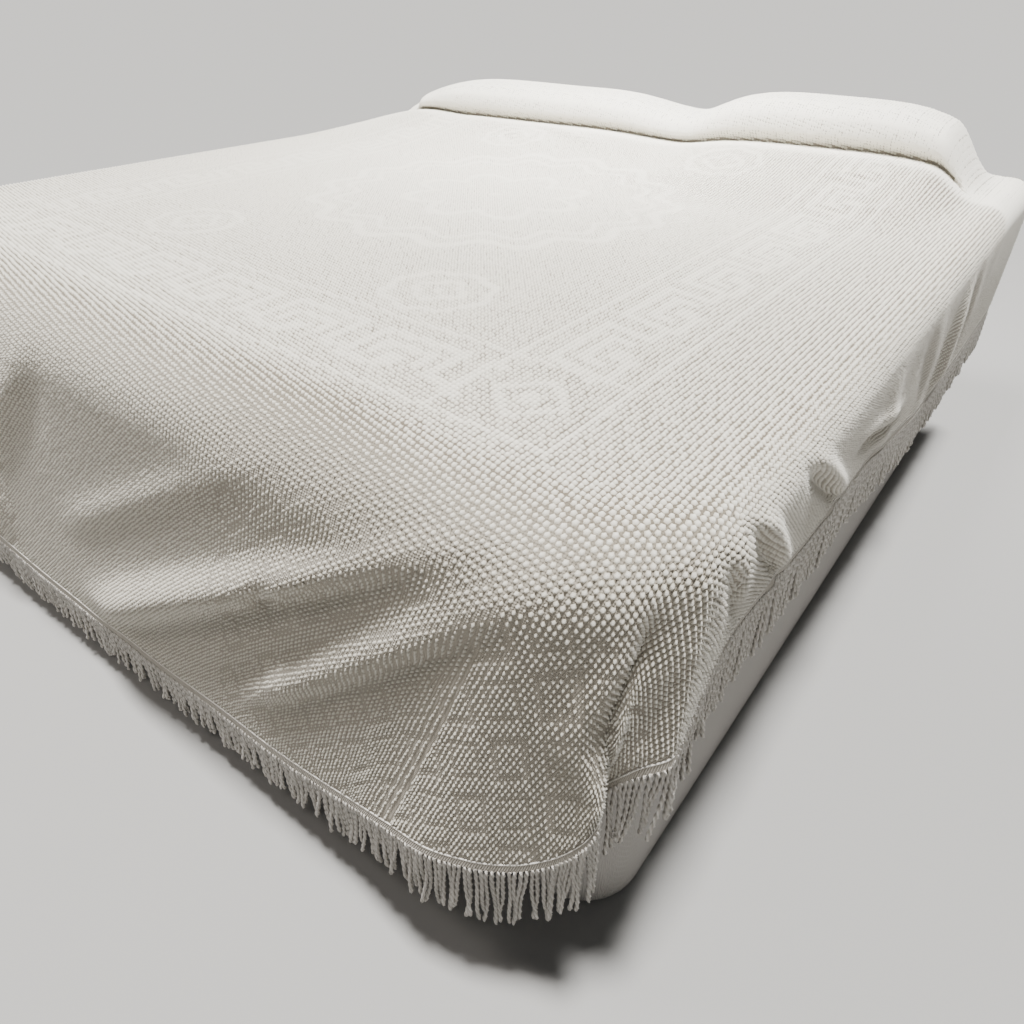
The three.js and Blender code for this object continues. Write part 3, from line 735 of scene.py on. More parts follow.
class BedspreadCloth(bpy.types.PropertyGroup):
    pitch_across: bpy.props.FloatProperty(
        name="Tuft pitch across", description="Distance between columns of tufts",
        default=0.0079, unit="LENGTH",
    )
    pitch_along: bpy.props.FloatProperty(
        name="Tuft pitch along", description="Distance between rows of tufts",
        default=0.0082, unit="LENGTH",
    )
    skew: bpy.props.FloatProperty(
        name="Skew", description="How far rows of tufts slant towards the foot at the near side",
        default=0.2,
    )
    tuft_fill: bpy.props.FloatProperty(
        name="Tuft fill", description="Width of a tuft on top of the bed as a share of the pitch",
        default=1.08,
    )
    hung_fill: bpy.props.FloatProperty(
        name="Hung tuft fill", description="Width of a tuft on the falls as a share of the pitch",
        default=0.7,
    )
    tuft_height: bpy.props.FloatProperty(
        name="Tuft height", description="How far a tuft stands up",
        default=0.0042, unit="LENGTH",
    )
    thickness: bpy.props.FloatProperty(
        name="Cloth thickness", description="Thickness of the woven ground",
        default=0.002, unit="LENGTH",
    )
    # The ground is darker than the tufts partly as its own colour and partly as painted shade between the
    # tufts
    ground: bpy.props.FloatVectorProperty(
        name="Ground", description="Colour of the woven ground",
        default=(0.39, 0.355, 0.295), size=3, subtype="COLOR",
    )
    tuft: bpy.props.FloatVectorProperty(
        name="Tufts", description="Colour of the tufts",
        default=(0.87, 0.842, 0.757), size=3, subtype="COLOR",
    )


class BedspreadFringe(bpy.types.PropertyGroup):
    pitch: bpy.props.FloatProperty(
        name="Strand pitch", description="Distance between strands",
        default=0.0072, unit="LENGTH",
    )
    width: bpy.props.FloatProperty(
        name="Strand width", description="Width of one twisted strand",
        default=0.0074, unit="LENGTH",
    )
    twist: bpy.props.FloatProperty(
        name="Twist", description="Length of one full turn of a strand",
        default=0.029, unit="LENGTH",
    )
    heading: bpy.props.FloatProperty(
        name="Heading", description="Height of the ribbed heading",
        default=0.015, unit="LENGTH",
    )
    yarn: bpy.props.FloatVectorProperty(
        name="Yarn", description="Colour of the fringe",
        default=(0.76, 0.73, 0.675), size=3, subtype="COLOR",
    )


class BedspreadBed(bpy.types.PropertyGroup):
    ticking: bpy.props.FloatVectorProperty(
        name="Ticking", description="Colour of the mattress",
        default=(0.74, 0.73, 0.70), size=3, subtype="COLOR",
    )
    cover: bpy.props.FloatVectorProperty(
        name="Base cover", description="Colour of the bed base",
        default=(0.42, 0.40, 0.37), size=3, subtype="COLOR",
    )


class BedspreadStage(bpy.types.PropertyGroup):
    focal: bpy.props.FloatProperty(
        name="Focal length", description="Focal length of the camera in millimetres",
        default=26.45,
    )
    floor: bpy.props.FloatVectorProperty(
        name="Floor", description="Colour of the floor",
        default=(0.30, 0.297, 0.292), size=3, subtype="COLOR",
    )
    key: bpy.props.FloatProperty(
        name="Key light", description="Strength of the light overhead",
        default=10.2,
    )
    side: bpy.props.FloatProperty(
        name="Side light", description="Power of the light at the foot",
        default=54.0, unit="POWER",
    )
    head: bpy.props.FloatProperty(
        name="Head light", description="Power of the light on the pillow end",
        default=25.0, unit="POWER",
    )
    back: bpy.props.FloatProperty(
        name="Backdrop", description="Brightness of the wall behind",
        default=0.95,
    )
    fill: bpy.props.FloatProperty(
        name="Fill", description="Strength of the light all round",
        default=0.15,
    )


def settings(name):
    return getattr(bpy.context.scene, name)


# The pattern: where tufts close up into smooth bars. The motifs are plain traditional ones in a layout of
# their own. The meander and the diamonds are counted in tufts

KEY_CHART = (
    "............",
    "##########..",
    "#........#..",
    "#.######.#..",
    "#.#....#.#..",
    "#.#.##.#.#..",
    "#...##...###",
    "#####.......",
    "............",
)
# Tufts to a mark of the chart, and where its band starts on the sides and at the foot
KEY_STEP = 2
KEY_WIDE = KEY_STEP * len(KEY_CHART)
KEY_NEAR = 596.0
KEY_FOOT = 752.0
# Rows from the meander's band to the plain line on either side of it
KEY_LINE = 3
# The diamond at a corner of the meander: a ring between two sizes, and its heart
DIAMOND_RING = (5, 8)
DIAMOND_HEART = 3
# Lozenges beside the corners of the foot fall: pitch, lines of small tufts, and where they start
LOZENGE = 14
LOZENGE_LINES = (4, 5, 10)
LOZENGE_X = 360.0
LOZENGE_FOOT = -1075.0
LOZENGE_TUFT = 0.56
# The medallion and the rosettes: place, size and lobes
RINGS = (
    (0.0, -40.0, 420.0, 16),
    (330.0, -610.0, 92.0, 8),
    (-330.0, -610.0, 92.0, 8),
    (330.0, 470.0, 92.0, 8),
    (-330.0, 470.0, 92.0, 8),
)
RING_SCALLOP = 0.05
# The flower in a ring as shares of the ring's size, and how many lobes there are to a turn of its petals
FLOWER_HEART = 0.34
FLOWER_PETAL = 0.16
FLOWER_LOBES = 4
# Half the width of a bar, which grows by a millimetre for each step in the ring's size
BAR_WIDTH = 6.0
BAR_WIDTH_STEP = 60.0
# A large ring has a thin one inside it
LARGE_RING = 200.0
INNER_RING_AWAY = 56.0
INNER_RING_WIDTH = 0.6
# The pattern stops short of the pillows
PATTERN_HEAD = 640.0


def lozenge_line(i, j, a, b):
    """Lines of small tufts round diamonds, on the parts of the foot fall beside the corners."""
    half = LOZENGE // 2
    away = np.abs(np.mod(i, LOZENGE) - half) + np.abs(np.mod(j, LOZENGE) - half)
    return np.isin(away, LOZENGE_LINES) & (np.abs(a) > LOZENGE_X) & (b < LOZENGE_FOOT)


def key_bar(i, j):
    """Strokes of a square meander, with j counted across its band."""
    chart = np.array([[mark == "#" for mark in row] for row in KEY_CHART])
    row, column = np.floor_divide(j, KEY_STEP), np.floor_divide(i, KEY_STEP)
    inside = (row >= 0) & (row < len(KEY_CHART))
    return inside & chart[np.clip(row, 0, len(KEY_CHART) - 1), np.mod(column, len(KEY_CHART[0]))]


def ring_bar(x, y, size, lobes):
    """A scalloped ring with an open flower inside."""
    reach = np.hypot(x, y)
    angle = np.arctan2(y, x)
    edge = size * (1 - RING_SCALLOP + RING_SCALLOP * np.cos(lobes * angle))
    flower = size * (FLOWER_HEART + FLOWER_PETAL * np.abs(np.cos(lobes / FLOWER_LOBES * angle)))
    width = BAR_WIDTH + size / BAR_WIDTH_STEP
    bars = (np.abs(reach - edge) < width) | (np.abs(reach - flower) < width) | (reach < width)
    inner = np.abs(reach - edge + INNER_RING_AWAY) < INNER_RING_WIDTH * width
    return bars | ((size > LARGE_RING) & inner)


def smooth_bar(i, j, a, b, across, along):
    """True where tufts close up into a smooth bar."""
    side_row = np.floor((np.abs(a) - KEY_NEAR) / across).astype(int)
    foot_row = np.floor((-b - KEY_FOOT) / along).astype(int)
    in_side, in_foot = ((row >= 0) & (row < KEY_WIDE) for row in (side_row, foot_row))
    bar = in_side & (foot_row < 0) & key_bar(j, side_row)
    bar |= in_foot & (side_row < 0) & key_bar(i, foot_row)
    middle = (KEY_WIDE - 1) / 2
    away = np.abs(side_row - middle) + np.abs(foot_row - middle)
    ring = (away > DIAMOND_RING[0]) & (away < DIAMOND_RING[1])
    bar |= in_side & in_foot & (ring | (away < DIAMOND_HEART))
    last = KEY_WIDE - 1 + KEY_LINE
    side_line, foot_line = ((row == -KEY_LINE) | (row == last) for row in (side_row, foot_row))
    bar |= (side_line & (foot_row <= last)) | (foot_line & (side_row <= last))
    for x, y, size, lobes in RINGS:
        bar |= ring_bar(a - x, b - y, size, lobes)
    return bar


# The woven cloth. Its steps run along the long sides, along the foot, down a fall as shares of its length,
# and in from the rim to the middle of the bed
LONG_STEPS = (
    (CLOTH_HEAD, 800, 16), (800, 610, 30), (610, 150, 22), (150, -150, 14), (-150, -SIDE_END, 76),
)
NEAR_CORNER_STEPS = 56
FOOT_STEPS = ((FOOT_HALF, -20, 66), (-20, -FOOT_HALF, 40))
FAR_CORNER_STEPS = 20
FALL_STEPS = ((1, 0.28, 39), (0.28, 0, 11))
INWARD_STEPS = ((0, 0.18, 13), (0.18, 0.72, 11), (0.72, 0.92, 9), (0.92, 1, 2))
SPINE_FOOT = -700.0
# The ground gets painted shade, darker on top of the bed, where tufts shade it, than on the falls or over
# the pillows
HUNG_FROM = 120.0
HUNG_PALER = 0.7
PILLOWS_PALER = 0.8
PILLOW_BAND = (560, 650)


class BEDSPREAD_OT_cloth(bpy.types.Operator):
    """Make the woven ground of the bedspread as one draped sheet"""

    bl_idname = "bedspread.cloth"
    bl_label = "Woven cloth"

    def execute(self, context):
        sizes = settings("bedspread_cloth")
        long_v = stretches(*LONG_STEPS)
        stations = np.concatenate([
            near(long_v),
            near_corner(stretches((0, 90, NEAR_CORNER_STEPS))),
            foot(stretches(*FOOT_STEPS)),
            far_corner(stretches((0, 90, FAR_CORNER_STEPS))),
            far(np.append(-SIDE_END, long_v[::-1])),
        ])
        _, whole = fall_length(stations)
        s = whole[:, None] * np.append(stretches(*FALL_STEPS), 0)
        at = np.broadcast_to(stations[:, None], s.shape)
        fall = fall_point(at, s)
        fall_a, fall_b = cloth_of_fall(at, s)
        rim_a, rim_b = fall_a[:, -1:], fall_b[:, -1:]
        on_long = (stations < 0) | (stations > far_corner(90))
        spine_b = np.where(on_long[:, None], np.maximum(rim_b, SPINE_FOOT), SPINE_FOOT)
        inward = np.append(stretches(*INWARD_STEPS), 1)[1:]
        top_a = rim_a * (1 - inward)
        top_b = rim_b + inward * (spine_b - rim_b)
        points = np.concatenate([fall, top_point(top_a, top_b)], axis=1)
        a, b = np.concatenate([fall_a, top_a], axis=1), np.concatenate([fall_b, top_b], axis=1)
        hung_groove_shade = 1 - HUNG_PALER * smoothstep(s, 0, HUNG_FROM)
        top_groove_shade = 1 - PILLOWS_PALER * smoothstep(top_b, *PILLOW_BAND)
        groove = np.concatenate([hung_groove_shade, top_groove_shade], axis=1)
        obj = mesh_object("bedspread_cloth", in_frame(points), [grid_faces(*points.shape[:2])], groove)
        set_uv(obj, np.stack([a, b], axis=-1) * MM)
        join_doubles(obj)
        thicken(obj, sizes.thickness)
        look = {"shade": 0.9, "grain": 420, "bump": 0.8, "ribs": (sizes.pitch_across / 2, 0.7)}
        material = cotton("Woven ground", sizes.ground, groove_shaded=True, **look)
        finish_piece(obj, material)
        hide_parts("bedspread")
        return {"FINISHED"}


# The tufts. Each is a small cone on a ring of points
TUFT_SIDES = 5
TUFT_REACH_X = (-1330, 1290)
TUFT_REACH_Y = (-1900, 1420)
HEM_MARGIN = 4.0
HEAD_MARGIN = 11.0
TUFT_STRAY = 1.4
BAR_STRAY = 0.4
TUFT_UNEVEN = 0.2
TUFT_SINK = 0.4
TUFT_LONGER = 0.08
GROW_SEED = 3
TURN_SEED = 7
# The step that gives the cloth's slope at a tuft, and how far in metres a tuft may move to sit on it
SLOPE_STEP = 1.5
SEAT_REACH = 0.012
SEAT_FACING = 0.4
# Tufts open out between two lengths below the rim, which are longer on the near side and its corner
OPEN_FROM = -60.0
OPEN_TO = 90.0
LATE_FROM = 70.0
LATE_TO = 150.0
LATE_SPAN = (near_corner(90), foot(450))
# How much fuller tufts are on the near fall, and how they draw out into ribs on most of the foot fall
NEAR_FILL = 0.13
NEAR_SPAN = (near_corner(0), near_corner(40))
RIBBED_SPAN = (-450, -200)
RIBBED_NARROWER = 0.08
RIBBED_LONGER = 0.3
# Bars of the pattern, and the pressed tufts over the pillows
BAR_WIDE = 1.22
BAR_LONG = 1.36
PRESSED_FILL = 0.55
PRESSED_STRETCH = 2.8
PRESSED_FLATTER = 0.7
# Where the cloth bunches at the far corner, tufts shrink to no less than this share
CROWDED_LEAST = 0.4
# Painted shade at the foot of a tuft, on top of the bed, on the falls and as a share on bars
TOP_GROOVE_SHADE = 0.92
HUNG_GROOVE_SHADE = 1.0
BAR_GROOVE_SHADE = 0.8
# Tufts on top are two pieces, parted here
TOP_PARTING = -100.0


def tuft_rows(across, along, skew):
    """Numbers of the tufts, their cloth coordinates, place round the edge and length below the rim."""
    reaches = ((TUFT_REACH_X, across), (TUFT_REACH_Y, along))
    numbers = [np.arange(*(round(end / pitch) for end in reach)) for reach, pitch in reaches]
    i, j = (grid.ravel() for grid in np.meshgrid(*numbers, indexing="ij"))
    a = i * across
    b = j * along - skew * a
    at, s, whole, length = place_of_cloth(a, b)
    kept = (s < whole - HEM_MARGIN) & (b < CLOTH_HEAD - HEAD_MARGIN)
    return (values[kept] for values in (i, j, a, b, at, length))


def cloth_ways(a, b):
    """Ways to the side, ahead and up from the cloth, and how far it is drawn out to the side and ahead."""
    side = (cloth_point(a + SLOPE_STEP, b) - cloth_point(a - SLOPE_STEP, b)) / (2 * SLOPE_STEP)
    ahead = (cloth_point(a, b + SLOPE_STEP) - cloth_point(a, b - SLOPE_STEP)) / (2 * SLOPE_STEP)
    room_side, room_ahead = (np.linalg.norm(way, axis=-1) for way in (side, ahead))
    side, ahead = unit(side), unit(ahead)
    return side, ahead, unit(np.cross(side, ahead)), room_side, room_ahead


def seat_shift(points, up):
    """How far each tuft moves along its own way up to sit on the woven cloth, in millimetres."""
    cloth = bpy.data.objects["bedspread_cloth"]
    tree = BVHTree.FromObject(cloth, bpy.context.evaluated_depsgraph_get())
    shift = np.zeros(len(points))
    for k, (point, way) in enumerate(zip(points, up)):
        way = Vector(way)
        hit, normal, _, away = tree.ray_cast(Vector(point) + SEAT_REACH * way, -way, 2 * SEAT_REACH)
        if hit is not None and normal.dot(way) > SEAT_FACING:
            shift[k] = (SEAT_REACH - away) / MM
    return shift


class BEDSPREAD_OT_tufts(bpy.types.Operator):
    """Make the raised cotton tufts in rows over the whole cloth"""

    bl_idname = "bedspread.tufts"
    bl_label = "Tufts"

    def execute(self, context):
        sizes = settings("bedspread_cloth")
        across, along = sizes.pitch_across / MM, sizes.pitch_along / MM
        i, j, a, b, at, length = tuft_rows(across, along, sizes.skew)
        bar = smooth_bar(i, j, a, b, across, along) & (length < 0) & (b < PATTERN_HEAD)
        stray = np.where(bar, BAR_STRAY, TUFT_STRAY)
        a = a + (scatter(i, j) - 0.5) * stray
        b = b + (scatter(j, i) - 0.5) * stray
        centre = cloth_point(a, b)
        side, ahead, up, room_side, room_ahead = cloth_ways(a, b)
        centre = centre + seat_shift(in_frame(centre), up)[:, None] * up

        # Tufts lie close on top of the bed and open out where the cloth hangs
        grow = 1 - TUFT_UNEVEN / 2 + TUFT_UNEVEN * scatter(i, j, i * 0 + GROW_SEED)
        grow = grow * np.where(lozenge_line(i, j, a, b), LOZENGE_TUFT, 1)
        late = 1 - smoothstep(at, *LATE_SPAN)
        hang = smoothstep(length, OPEN_FROM + LATE_FROM * late, OPEN_TO + LATE_TO * late)
        pressed = smoothstep(b, *PILLOW_BAND) * (1 - hang)
        beside = 1 - smoothstep(at, *NEAR_SPAN)
        ribbed = hang * smoothstep(-a, *RIBBED_SPAN) * smoothstep(-b, SIDE_END, HALF_Y)
        fill = sizes.tuft_fill + hang * (sizes.hung_fill + NEAR_FILL * beside - sizes.tuft_fill)
        fill = fill + PRESSED_FILL * pressed
        wide = across / 2 * np.where(bar, BAR_WIDE, fill * grow) * (1 - RIBBED_NARROWER * ribbed)
        wide *= 1 + pressed * (np.clip(room_side, 1, PRESSED_STRETCH) - 1)
        long = along / 2 * np.where(bar, BAR_LONG, (fill + TUFT_LONGER) * grow)
        long *= 1 + RIBBED_LONGER * ribbed
        crowded = (at > far_corner(0)) & (at < far_corner(90))
        wide *= np.where(crowded, np.clip(room_side, CROWDED_LEAST, 1), 1)
        long *= np.where(crowded, np.clip(room_ahead, CROWDED_LEAST, 1), 1)
        high = sizes.tuft_height / MM * grow * (1 - PRESSED_FLATTER * pressed)

        corner = np.arange(TUFT_SIDES)
        turn = corner * 2 * math.pi / TUFT_SIDES + 2 * math.pi * scatter(i, j, i * 0 + TURN_SEED)[:, None]
        ring = (
            centre[:, None]
            + (wide[:, None] * np.cos(turn))[..., None] * side[:, None]
            + (long[:, None] * np.sin(turn))[..., None] * ahead[:, None]
            - TUFT_SINK * up[:, None]
        )
        tip = centre + high[:, None] * up
        points = np.concatenate([ring, tip[:, None]], axis=1)
        tuft_foot_shade = TOP_GROOVE_SHADE + hang * (HUNG_GROOVE_SHADE - TOP_GROOVE_SHADE)
        tuft_foot_shade = tuft_foot_shade * np.where(bar, BAR_GROOVE_SHADE, 1) * (1 - pressed)
        groove = np.zeros((len(points), TUFT_SIDES + 1))
        groove[:, :TUFT_SIDES] = tuft_foot_shade[:, None]
        fan = np.stack([corner, (corner + 1) % TUFT_SIDES, np.full(TUFT_SIDES, TUFT_SIDES)], axis=-1)
        top = length <= 0
        groups = {
            "tufts_top_foot": top & (b < TOP_PARTING),
            "tufts_top_head": top & (b >= TOP_PARTING),
            "tufts_foot": ~top & (b < -SIDE_END),
            "tufts_sides": ~top & (b >= -SIDE_END),
        }
        look = {"shade": 0.92, "grain": 900, "bump": 0.5, "roughness": 0.85}
        material = cotton("Cotton tufts", sizes.tuft, groove_shaded=True, **look)
        for name, chosen in groups.items():
            block = points[chosen]
            faces = fan + (TUFT_SIDES + 1) * np.arange(len(block))[:, None, None]
            obj = mesh_object(name, in_frame(block), [faces.reshape(-1, 3)], groove[chosen])
            finish_piece(obj, material)
        return {"FINISHED"}


# The fringe. Its runs have a first and last place round the edge, the sections of a strand, how loosely the
# strands hang, and a seed
FRINGE_RUNS = {
    "fringe_near": (near(CLOTH_HEAD), near_corner(43), 34, 0.5, 11),
    "fringe_foot": (near_corner(43.5), far_corner(44.9), 34, 1.0, 23),
    "fringe_far": (far_corner(45.1), far(CLOTH_HEAD), 13, 0.7, 37),
}
# Samples along the hem of a run, and how far above the hem its way down starts
HEM_SAMPLES = 6000
HEM_ABOVE = 6.0
# Section of the heading: place down it as a share of its height, and how far it stands out
HEADING_PROFILE = (
    (-0.05, 0.6), (-0.02, 1.6), (0.06, 1.6), (0.1, 0.5), (0.14, 1.2), (0.55, 1.4), (1.0, 1.0), (1.0, -0.9),
    (-0.05, -0.9),
)
# Ribbed rows of the profile: the grooves between ribs get painted shade whole, the ribs this share of it
HEADING_RIBBED = (4, 5, 6)
HEADING_RIB_SHADE = 0.62
RIB_STEP = 1.75
RIB_HEIGHT = 1.1
RIB_SLANT = 2.4
# Section of a strand across its two plies, and the painted shade in the grooves between them
PLY_SECTION = ((1, 0), (0, 0.66), (-1, 0), (0, -0.66))
PLY_GROOVE_SHADE = (0, 0.8, 0, 0.8)
STRAND_SIDES = len(PLY_SECTION)
# A strand's thickness from root to end. Its width and length have a least share, and how much more at most
STRAND_SHARES = (0, 0.03, 0.9, 0.97, 1)
STRAND_SWELL = (0.8, 1, 0.97, 1.04, 0.72)
STRAND_WIDTH = (0.9, 0.2)
STRAND_LENGTH = (0.86, 0.22)
STRAND_ROOT = 1.5
# Locks of strands: the fewest strands in one, how many more there may be, and how closely they cling
LOCK_FEWEST = 2
LOCK_MORE = 3.4
LOCK_DRAW = 5
LOCK_CLING = (0.25, 0.6)
LOCK_LEAN = 17.0
STRAND_LEAN = 7.0
STRAND_EASE = 1.5
# Strands wave to the side and outwards as they hang, and lie in front of and behind each other
STRAY = 1.9
SWAY_TURN = 6.0
SWING_TURN = 5.0
SWING_PHASE = 1.7
STAND_LEAST = 0.4
LAYERS = (1.4, -0.6)
LAYER_UNEVEN = 7.0
LAYER_MIDDLE = 0.35
# The strands below the flap hang loosest: where that starts, where it is whole and where the flap ends
FLAP = (near(-830), near_corner(10), near_corner(45))
FLAP_LOOSE = 1.1


class BEDSPREAD_OT_fringe(bpy.types.Operator):
    """Make the ribbed heading and the twisted strands of the fringe"""

    bl_idname = "bedspread.fringe"
    bl_label = "Fringe"

    def execute(self, context):
        yarn = settings("bedspread_fringe").yarn
        material = cotton("Fringe yarn", yarn, shade=0.84, grain=700, bump=0.6, groove_shaded=True)
        for name, run in FRINGE_RUNS.items():
            obj = fringe_run(name + "_yarn", *run)
            finish_piece(obj, material)
            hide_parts(name)
        return {"FINISHED"}


def hem_line(first, last, step):
    """Points evenly along the hem with their place round the edge and the ways along, down and out."""
    at = np.linspace(first, last, HEM_SAMPLES)
    _, whole = fall_length(at)
    line = fall_point(at, whole)
    run = np.concatenate([[0], np.cumsum(np.linalg.norm(np.diff(line, axis=0), axis=1))])
    at = np.interp(np.arange(0, run[-1], step), run, at)
    _, whole = fall_length(at)
    hem = fall_point(at, whole)
    down = unit(hem - fall_point(at, whole - HEM_ABOVE))
    along = unit(np.gradient(hem, axis=0))
    return at, hem, along, down, unit(np.cross(along, down))


def heading_strip(first, last, height):
    """A flat band of fine slanted ribs under a stitched cord, with the painted shade in the grooves between
    its ribs.
    """
    at, hem, along, down, out = hem_line(first, last, RIB_STEP)
    low = np.arange(len(at)) % 2
    rows, groove_shades = [], []
    for k, (share, stand) in enumerate(HEADING_PROFILE):
        ribbed = float(k in HEADING_RIBBED)
        drop = ribbed * RIB_HEIGHT * low
        slant = ribbed * RIB_SLANT * share
        rows.append(hem + share * height * down + slant * along + (stand - drop)[:, None] * out)
        groove_shades.append(ribbed * np.where(low > 0, 1, HEADING_RIB_SHADE))
    strip = np.stack(rows, axis=1)
    groove = np.stack(groove_shades, axis=1)
    rings, sides = strip.shape[:2]
    caps = np.array([np.arange(sides), np.arange(rings * sides - 1, (rings - 1) * sides - 1, -1)])
    return strip.reshape(-1, 3), tube_faces(rings, sides), caps, groove.ravel()


def strand_locks(count, seed):
    """The middle of the lock that each strand clings to, counted in strands."""
    number = np.arange(count)
    size = LOCK_FEWEST + np.floor(LOCK_MORE * scatter(number, number * 0 + seed + LOCK_DRAW)).astype(int)
    lock = []
    while len(lock) < count:
        place = len(lock)
        lock.extend([place + (size[place] - 1) / 2] * size[place])
    return np.array(lock[:count])


def strand_faces(sections):
    """Faces of one strand, closed at its ends."""
    ring = np.arange(STRAND_SIDES)
    after = (ring + 1) % STRAND_SIDES
    low = STRAND_SIDES * np.arange(sections)[:, None]
    high = low + STRAND_SIDES
    walls = np.stack([low + ring, low + after, high + after, high + ring], axis=-1)
    return np.concatenate([walls.reshape(-1, 4), [ring[::-1], STRAND_SIDES * sections + ring]])


def fringe_run(name, first, last, sections, loose, seed):
    """One run of the fringe. loose is how freely its strands stray."""
    sizes = settings("bedspread_fringe")
    heading = sizes.heading / MM
    strip, strip_faces, caps, strip_groove_shade = heading_strip(first, last, heading)

    pitch = sizes.pitch / MM
    at, hem, along, down, _ = hem_line(first, last, pitch)
    count = len(at)
    number = np.arange(count)

    def draw(which, key=number):
        """A share for each strand or lock. Each use has its own number."""
        return scatter(key, number * 0 + seed + which)

    def between(span, share):
        return span[0] + span[1] * share

    length = HEM_TRACK.read("fringe", at) * between(STRAND_LENGTH, draw(0))
    root = hem + (heading - STRAND_ROOT) * down
    level = unit(along * np.array([1, 1, 0]))
    outward = np.stack([-level[:, 1], level[:, 0], np.zeros(count)], axis=1)

    # Neighbouring strands cling together in locks, and a few stray
    lock = strand_locks(count, seed)
    whole = np.floor(lock)
    gather = (lock - number) * pitch * between(LOCK_CLING, draw(9, whole))
    at_flap = smoothstep(at, *FLAP[:2]) * (at < FLAP[2])
    loose = loose + at_flap * (FLAP_LOOSE - loose)
    lean = loose * (LOCK_LEAN * (draw(2, whole) - 0.5) + STRAND_LEAN * (draw(3) - 0.5))
    t = np.linspace(0, 1, sections + 1)
    fall = length[:, None] * t
    ease = t**STRAND_EASE
    phase = 2 * math.pi * draw(1)[:, None]
    stray = STRAY * loose[:, None] * np.sqrt(t)
    sway = stray * np.sin(phase + SWAY_TURN * t)
    swing = stray * np.sin(SWING_PHASE * phase + SWING_TURN * t)
    drift = (gather + lean)[:, None] * ease + sway
    layer = np.where(number % 2 == 0, *LAYERS) + LAYER_UNEVEN * (draw(7) - LAYER_MIDDLE)
    stand = STAND_LEAST + swing + layer[:, None] * ease
    centre = (
        root[:, None]
        + drift[..., None] * level[:, None]
        + stand[..., None] * outward[:, None]
        - fall[..., None] * np.array([0, 0, 1.0])
    )
    radius = sizes.width / MM / 2 * between(STRAND_WIDTH, draw(4))
    size = (radius[:, None] * np.interp(t, STRAND_SHARES, STRAND_SWELL))[..., None]
    turn = 2 * math.pi * fall / (sizes.twist / MM) + phase
    cos, sin = np.cos(turn)[..., None], np.sin(turn)[..., None]
    flat_x, flat_y = np.array(PLY_SECTION).T
    off_level = size * (flat_x * cos - flat_y * sin)
    off_out = size * (flat_x * sin + flat_y * cos)
    strand = (
        centre[:, :, None]
        + off_level[..., None] * level[:, None, None]
        + off_out[..., None] * outward[:, None, None]
    )
    groove = np.broadcast_to(np.array(PLY_GROOVE_SHADE), strand.shape[:3])
    first_points = len(strip) + number * STRAND_SIDES * (sections + 1)
    every = strand_faces(sections) + first_points[:, None, None]
    return mesh_object(
        name,
        in_frame(np.concatenate([strip, strand.reshape(-1, 3)])),
        [np.concatenate([strip_faces, every.reshape(-1, 4)]), caps],
        np.concatenate([strip_groove_shade, groove.ravel()]),
        flat=len(strip_faces),
    )


# The bed under the cloth, in covers with piped edges
PIPING = 4.5
PIPE_SIDES = 6
PIPE_STEP = 2.0
BLOCK_SLACK = 5.0
BLOCK_BULGE = 4.5
# The border swells between stitches this far apart, and least at the stitches
STITCH = 190.0
STITCH_LEAST = 0.55
# Points on a corner and between corners in plan, and rows of a rounded edge and of the border
OUTLINE_ARC = 10
OUTLINE_EDGE = 36
EDGE_ROWS = 7
BORDER_ROWS = 9
# Corner, rounded edge and piped rows of each block
MATTRESS_BLOCK = (CORNER, 70.0, (3, 16))
BASE_BLOCK = (CORNER - 14.0, 12.0, (16,))
# Pillows start a little smaller than their solids, and their filling swells them by no more than this
PILLOW_SHRINK = 0.96
PILLOW_GRAIN = 0.01
PILLOW_SWELL = 0.008
PILLOW_PRESSURE = 4
PILLOW_MOMENTS = 20


def outline(half_x, half_y, corner):
    """Points round a rectangle with rounded corners in plan, the way each faces and the run up to it."""
    middles = np.array(((1, 1), (-1, 1), (-1, -1), (1, -1))) * (half_x - corner, half_y - corner)
    steps = np.linspace(0, 1, OUTLINE_EDGE)[1:-1, None]
    arcs, faces = [], []
    for k, middle in enumerate(middles):
        turn = np.linspace(k, k + 1, OUTLINE_ARC) * math.pi / 2
        face = np.stack([np.cos(turn), np.sin(turn)], axis=-1)
        arc = middle + corner * face
        start = middles[(k + 1) % 4] + corner * face[-1]
        arcs += [arc, arc[-1] + steps * (start - arc[-1])]
        faces += [face, np.repeat(face[-1:], len(steps), axis=0)]
    points, facing = np.concatenate(arcs), np.concatenate(faces)
    gaps = np.linalg.norm(np.diff(points, axis=0), axis=1)
    return points, facing, np.concatenate([[0], np.cumsum(gaps)])


def block_profile(height, edge):
    """Rows of a rounded edge, a border and a rounded edge: how far in, how high, and how free to bulge."""
    turn = np.linspace(0, math.pi / 2, EDGE_ROWS)
    shares = np.linspace(0, 1, BORDER_ROWS)[1:-1]
    low = [(edge * (1 - math.sin(k)), edge * (1 - math.cos(k)), 0) for k in turn]
    border = [(0, edge + share * (height - 2 * edge), math.sin(math.pi * share)) for share in shares]
    high = [(inset, height - level, 0) for inset, level, _ in reversed(low)]
    return np.array(low + border + high)


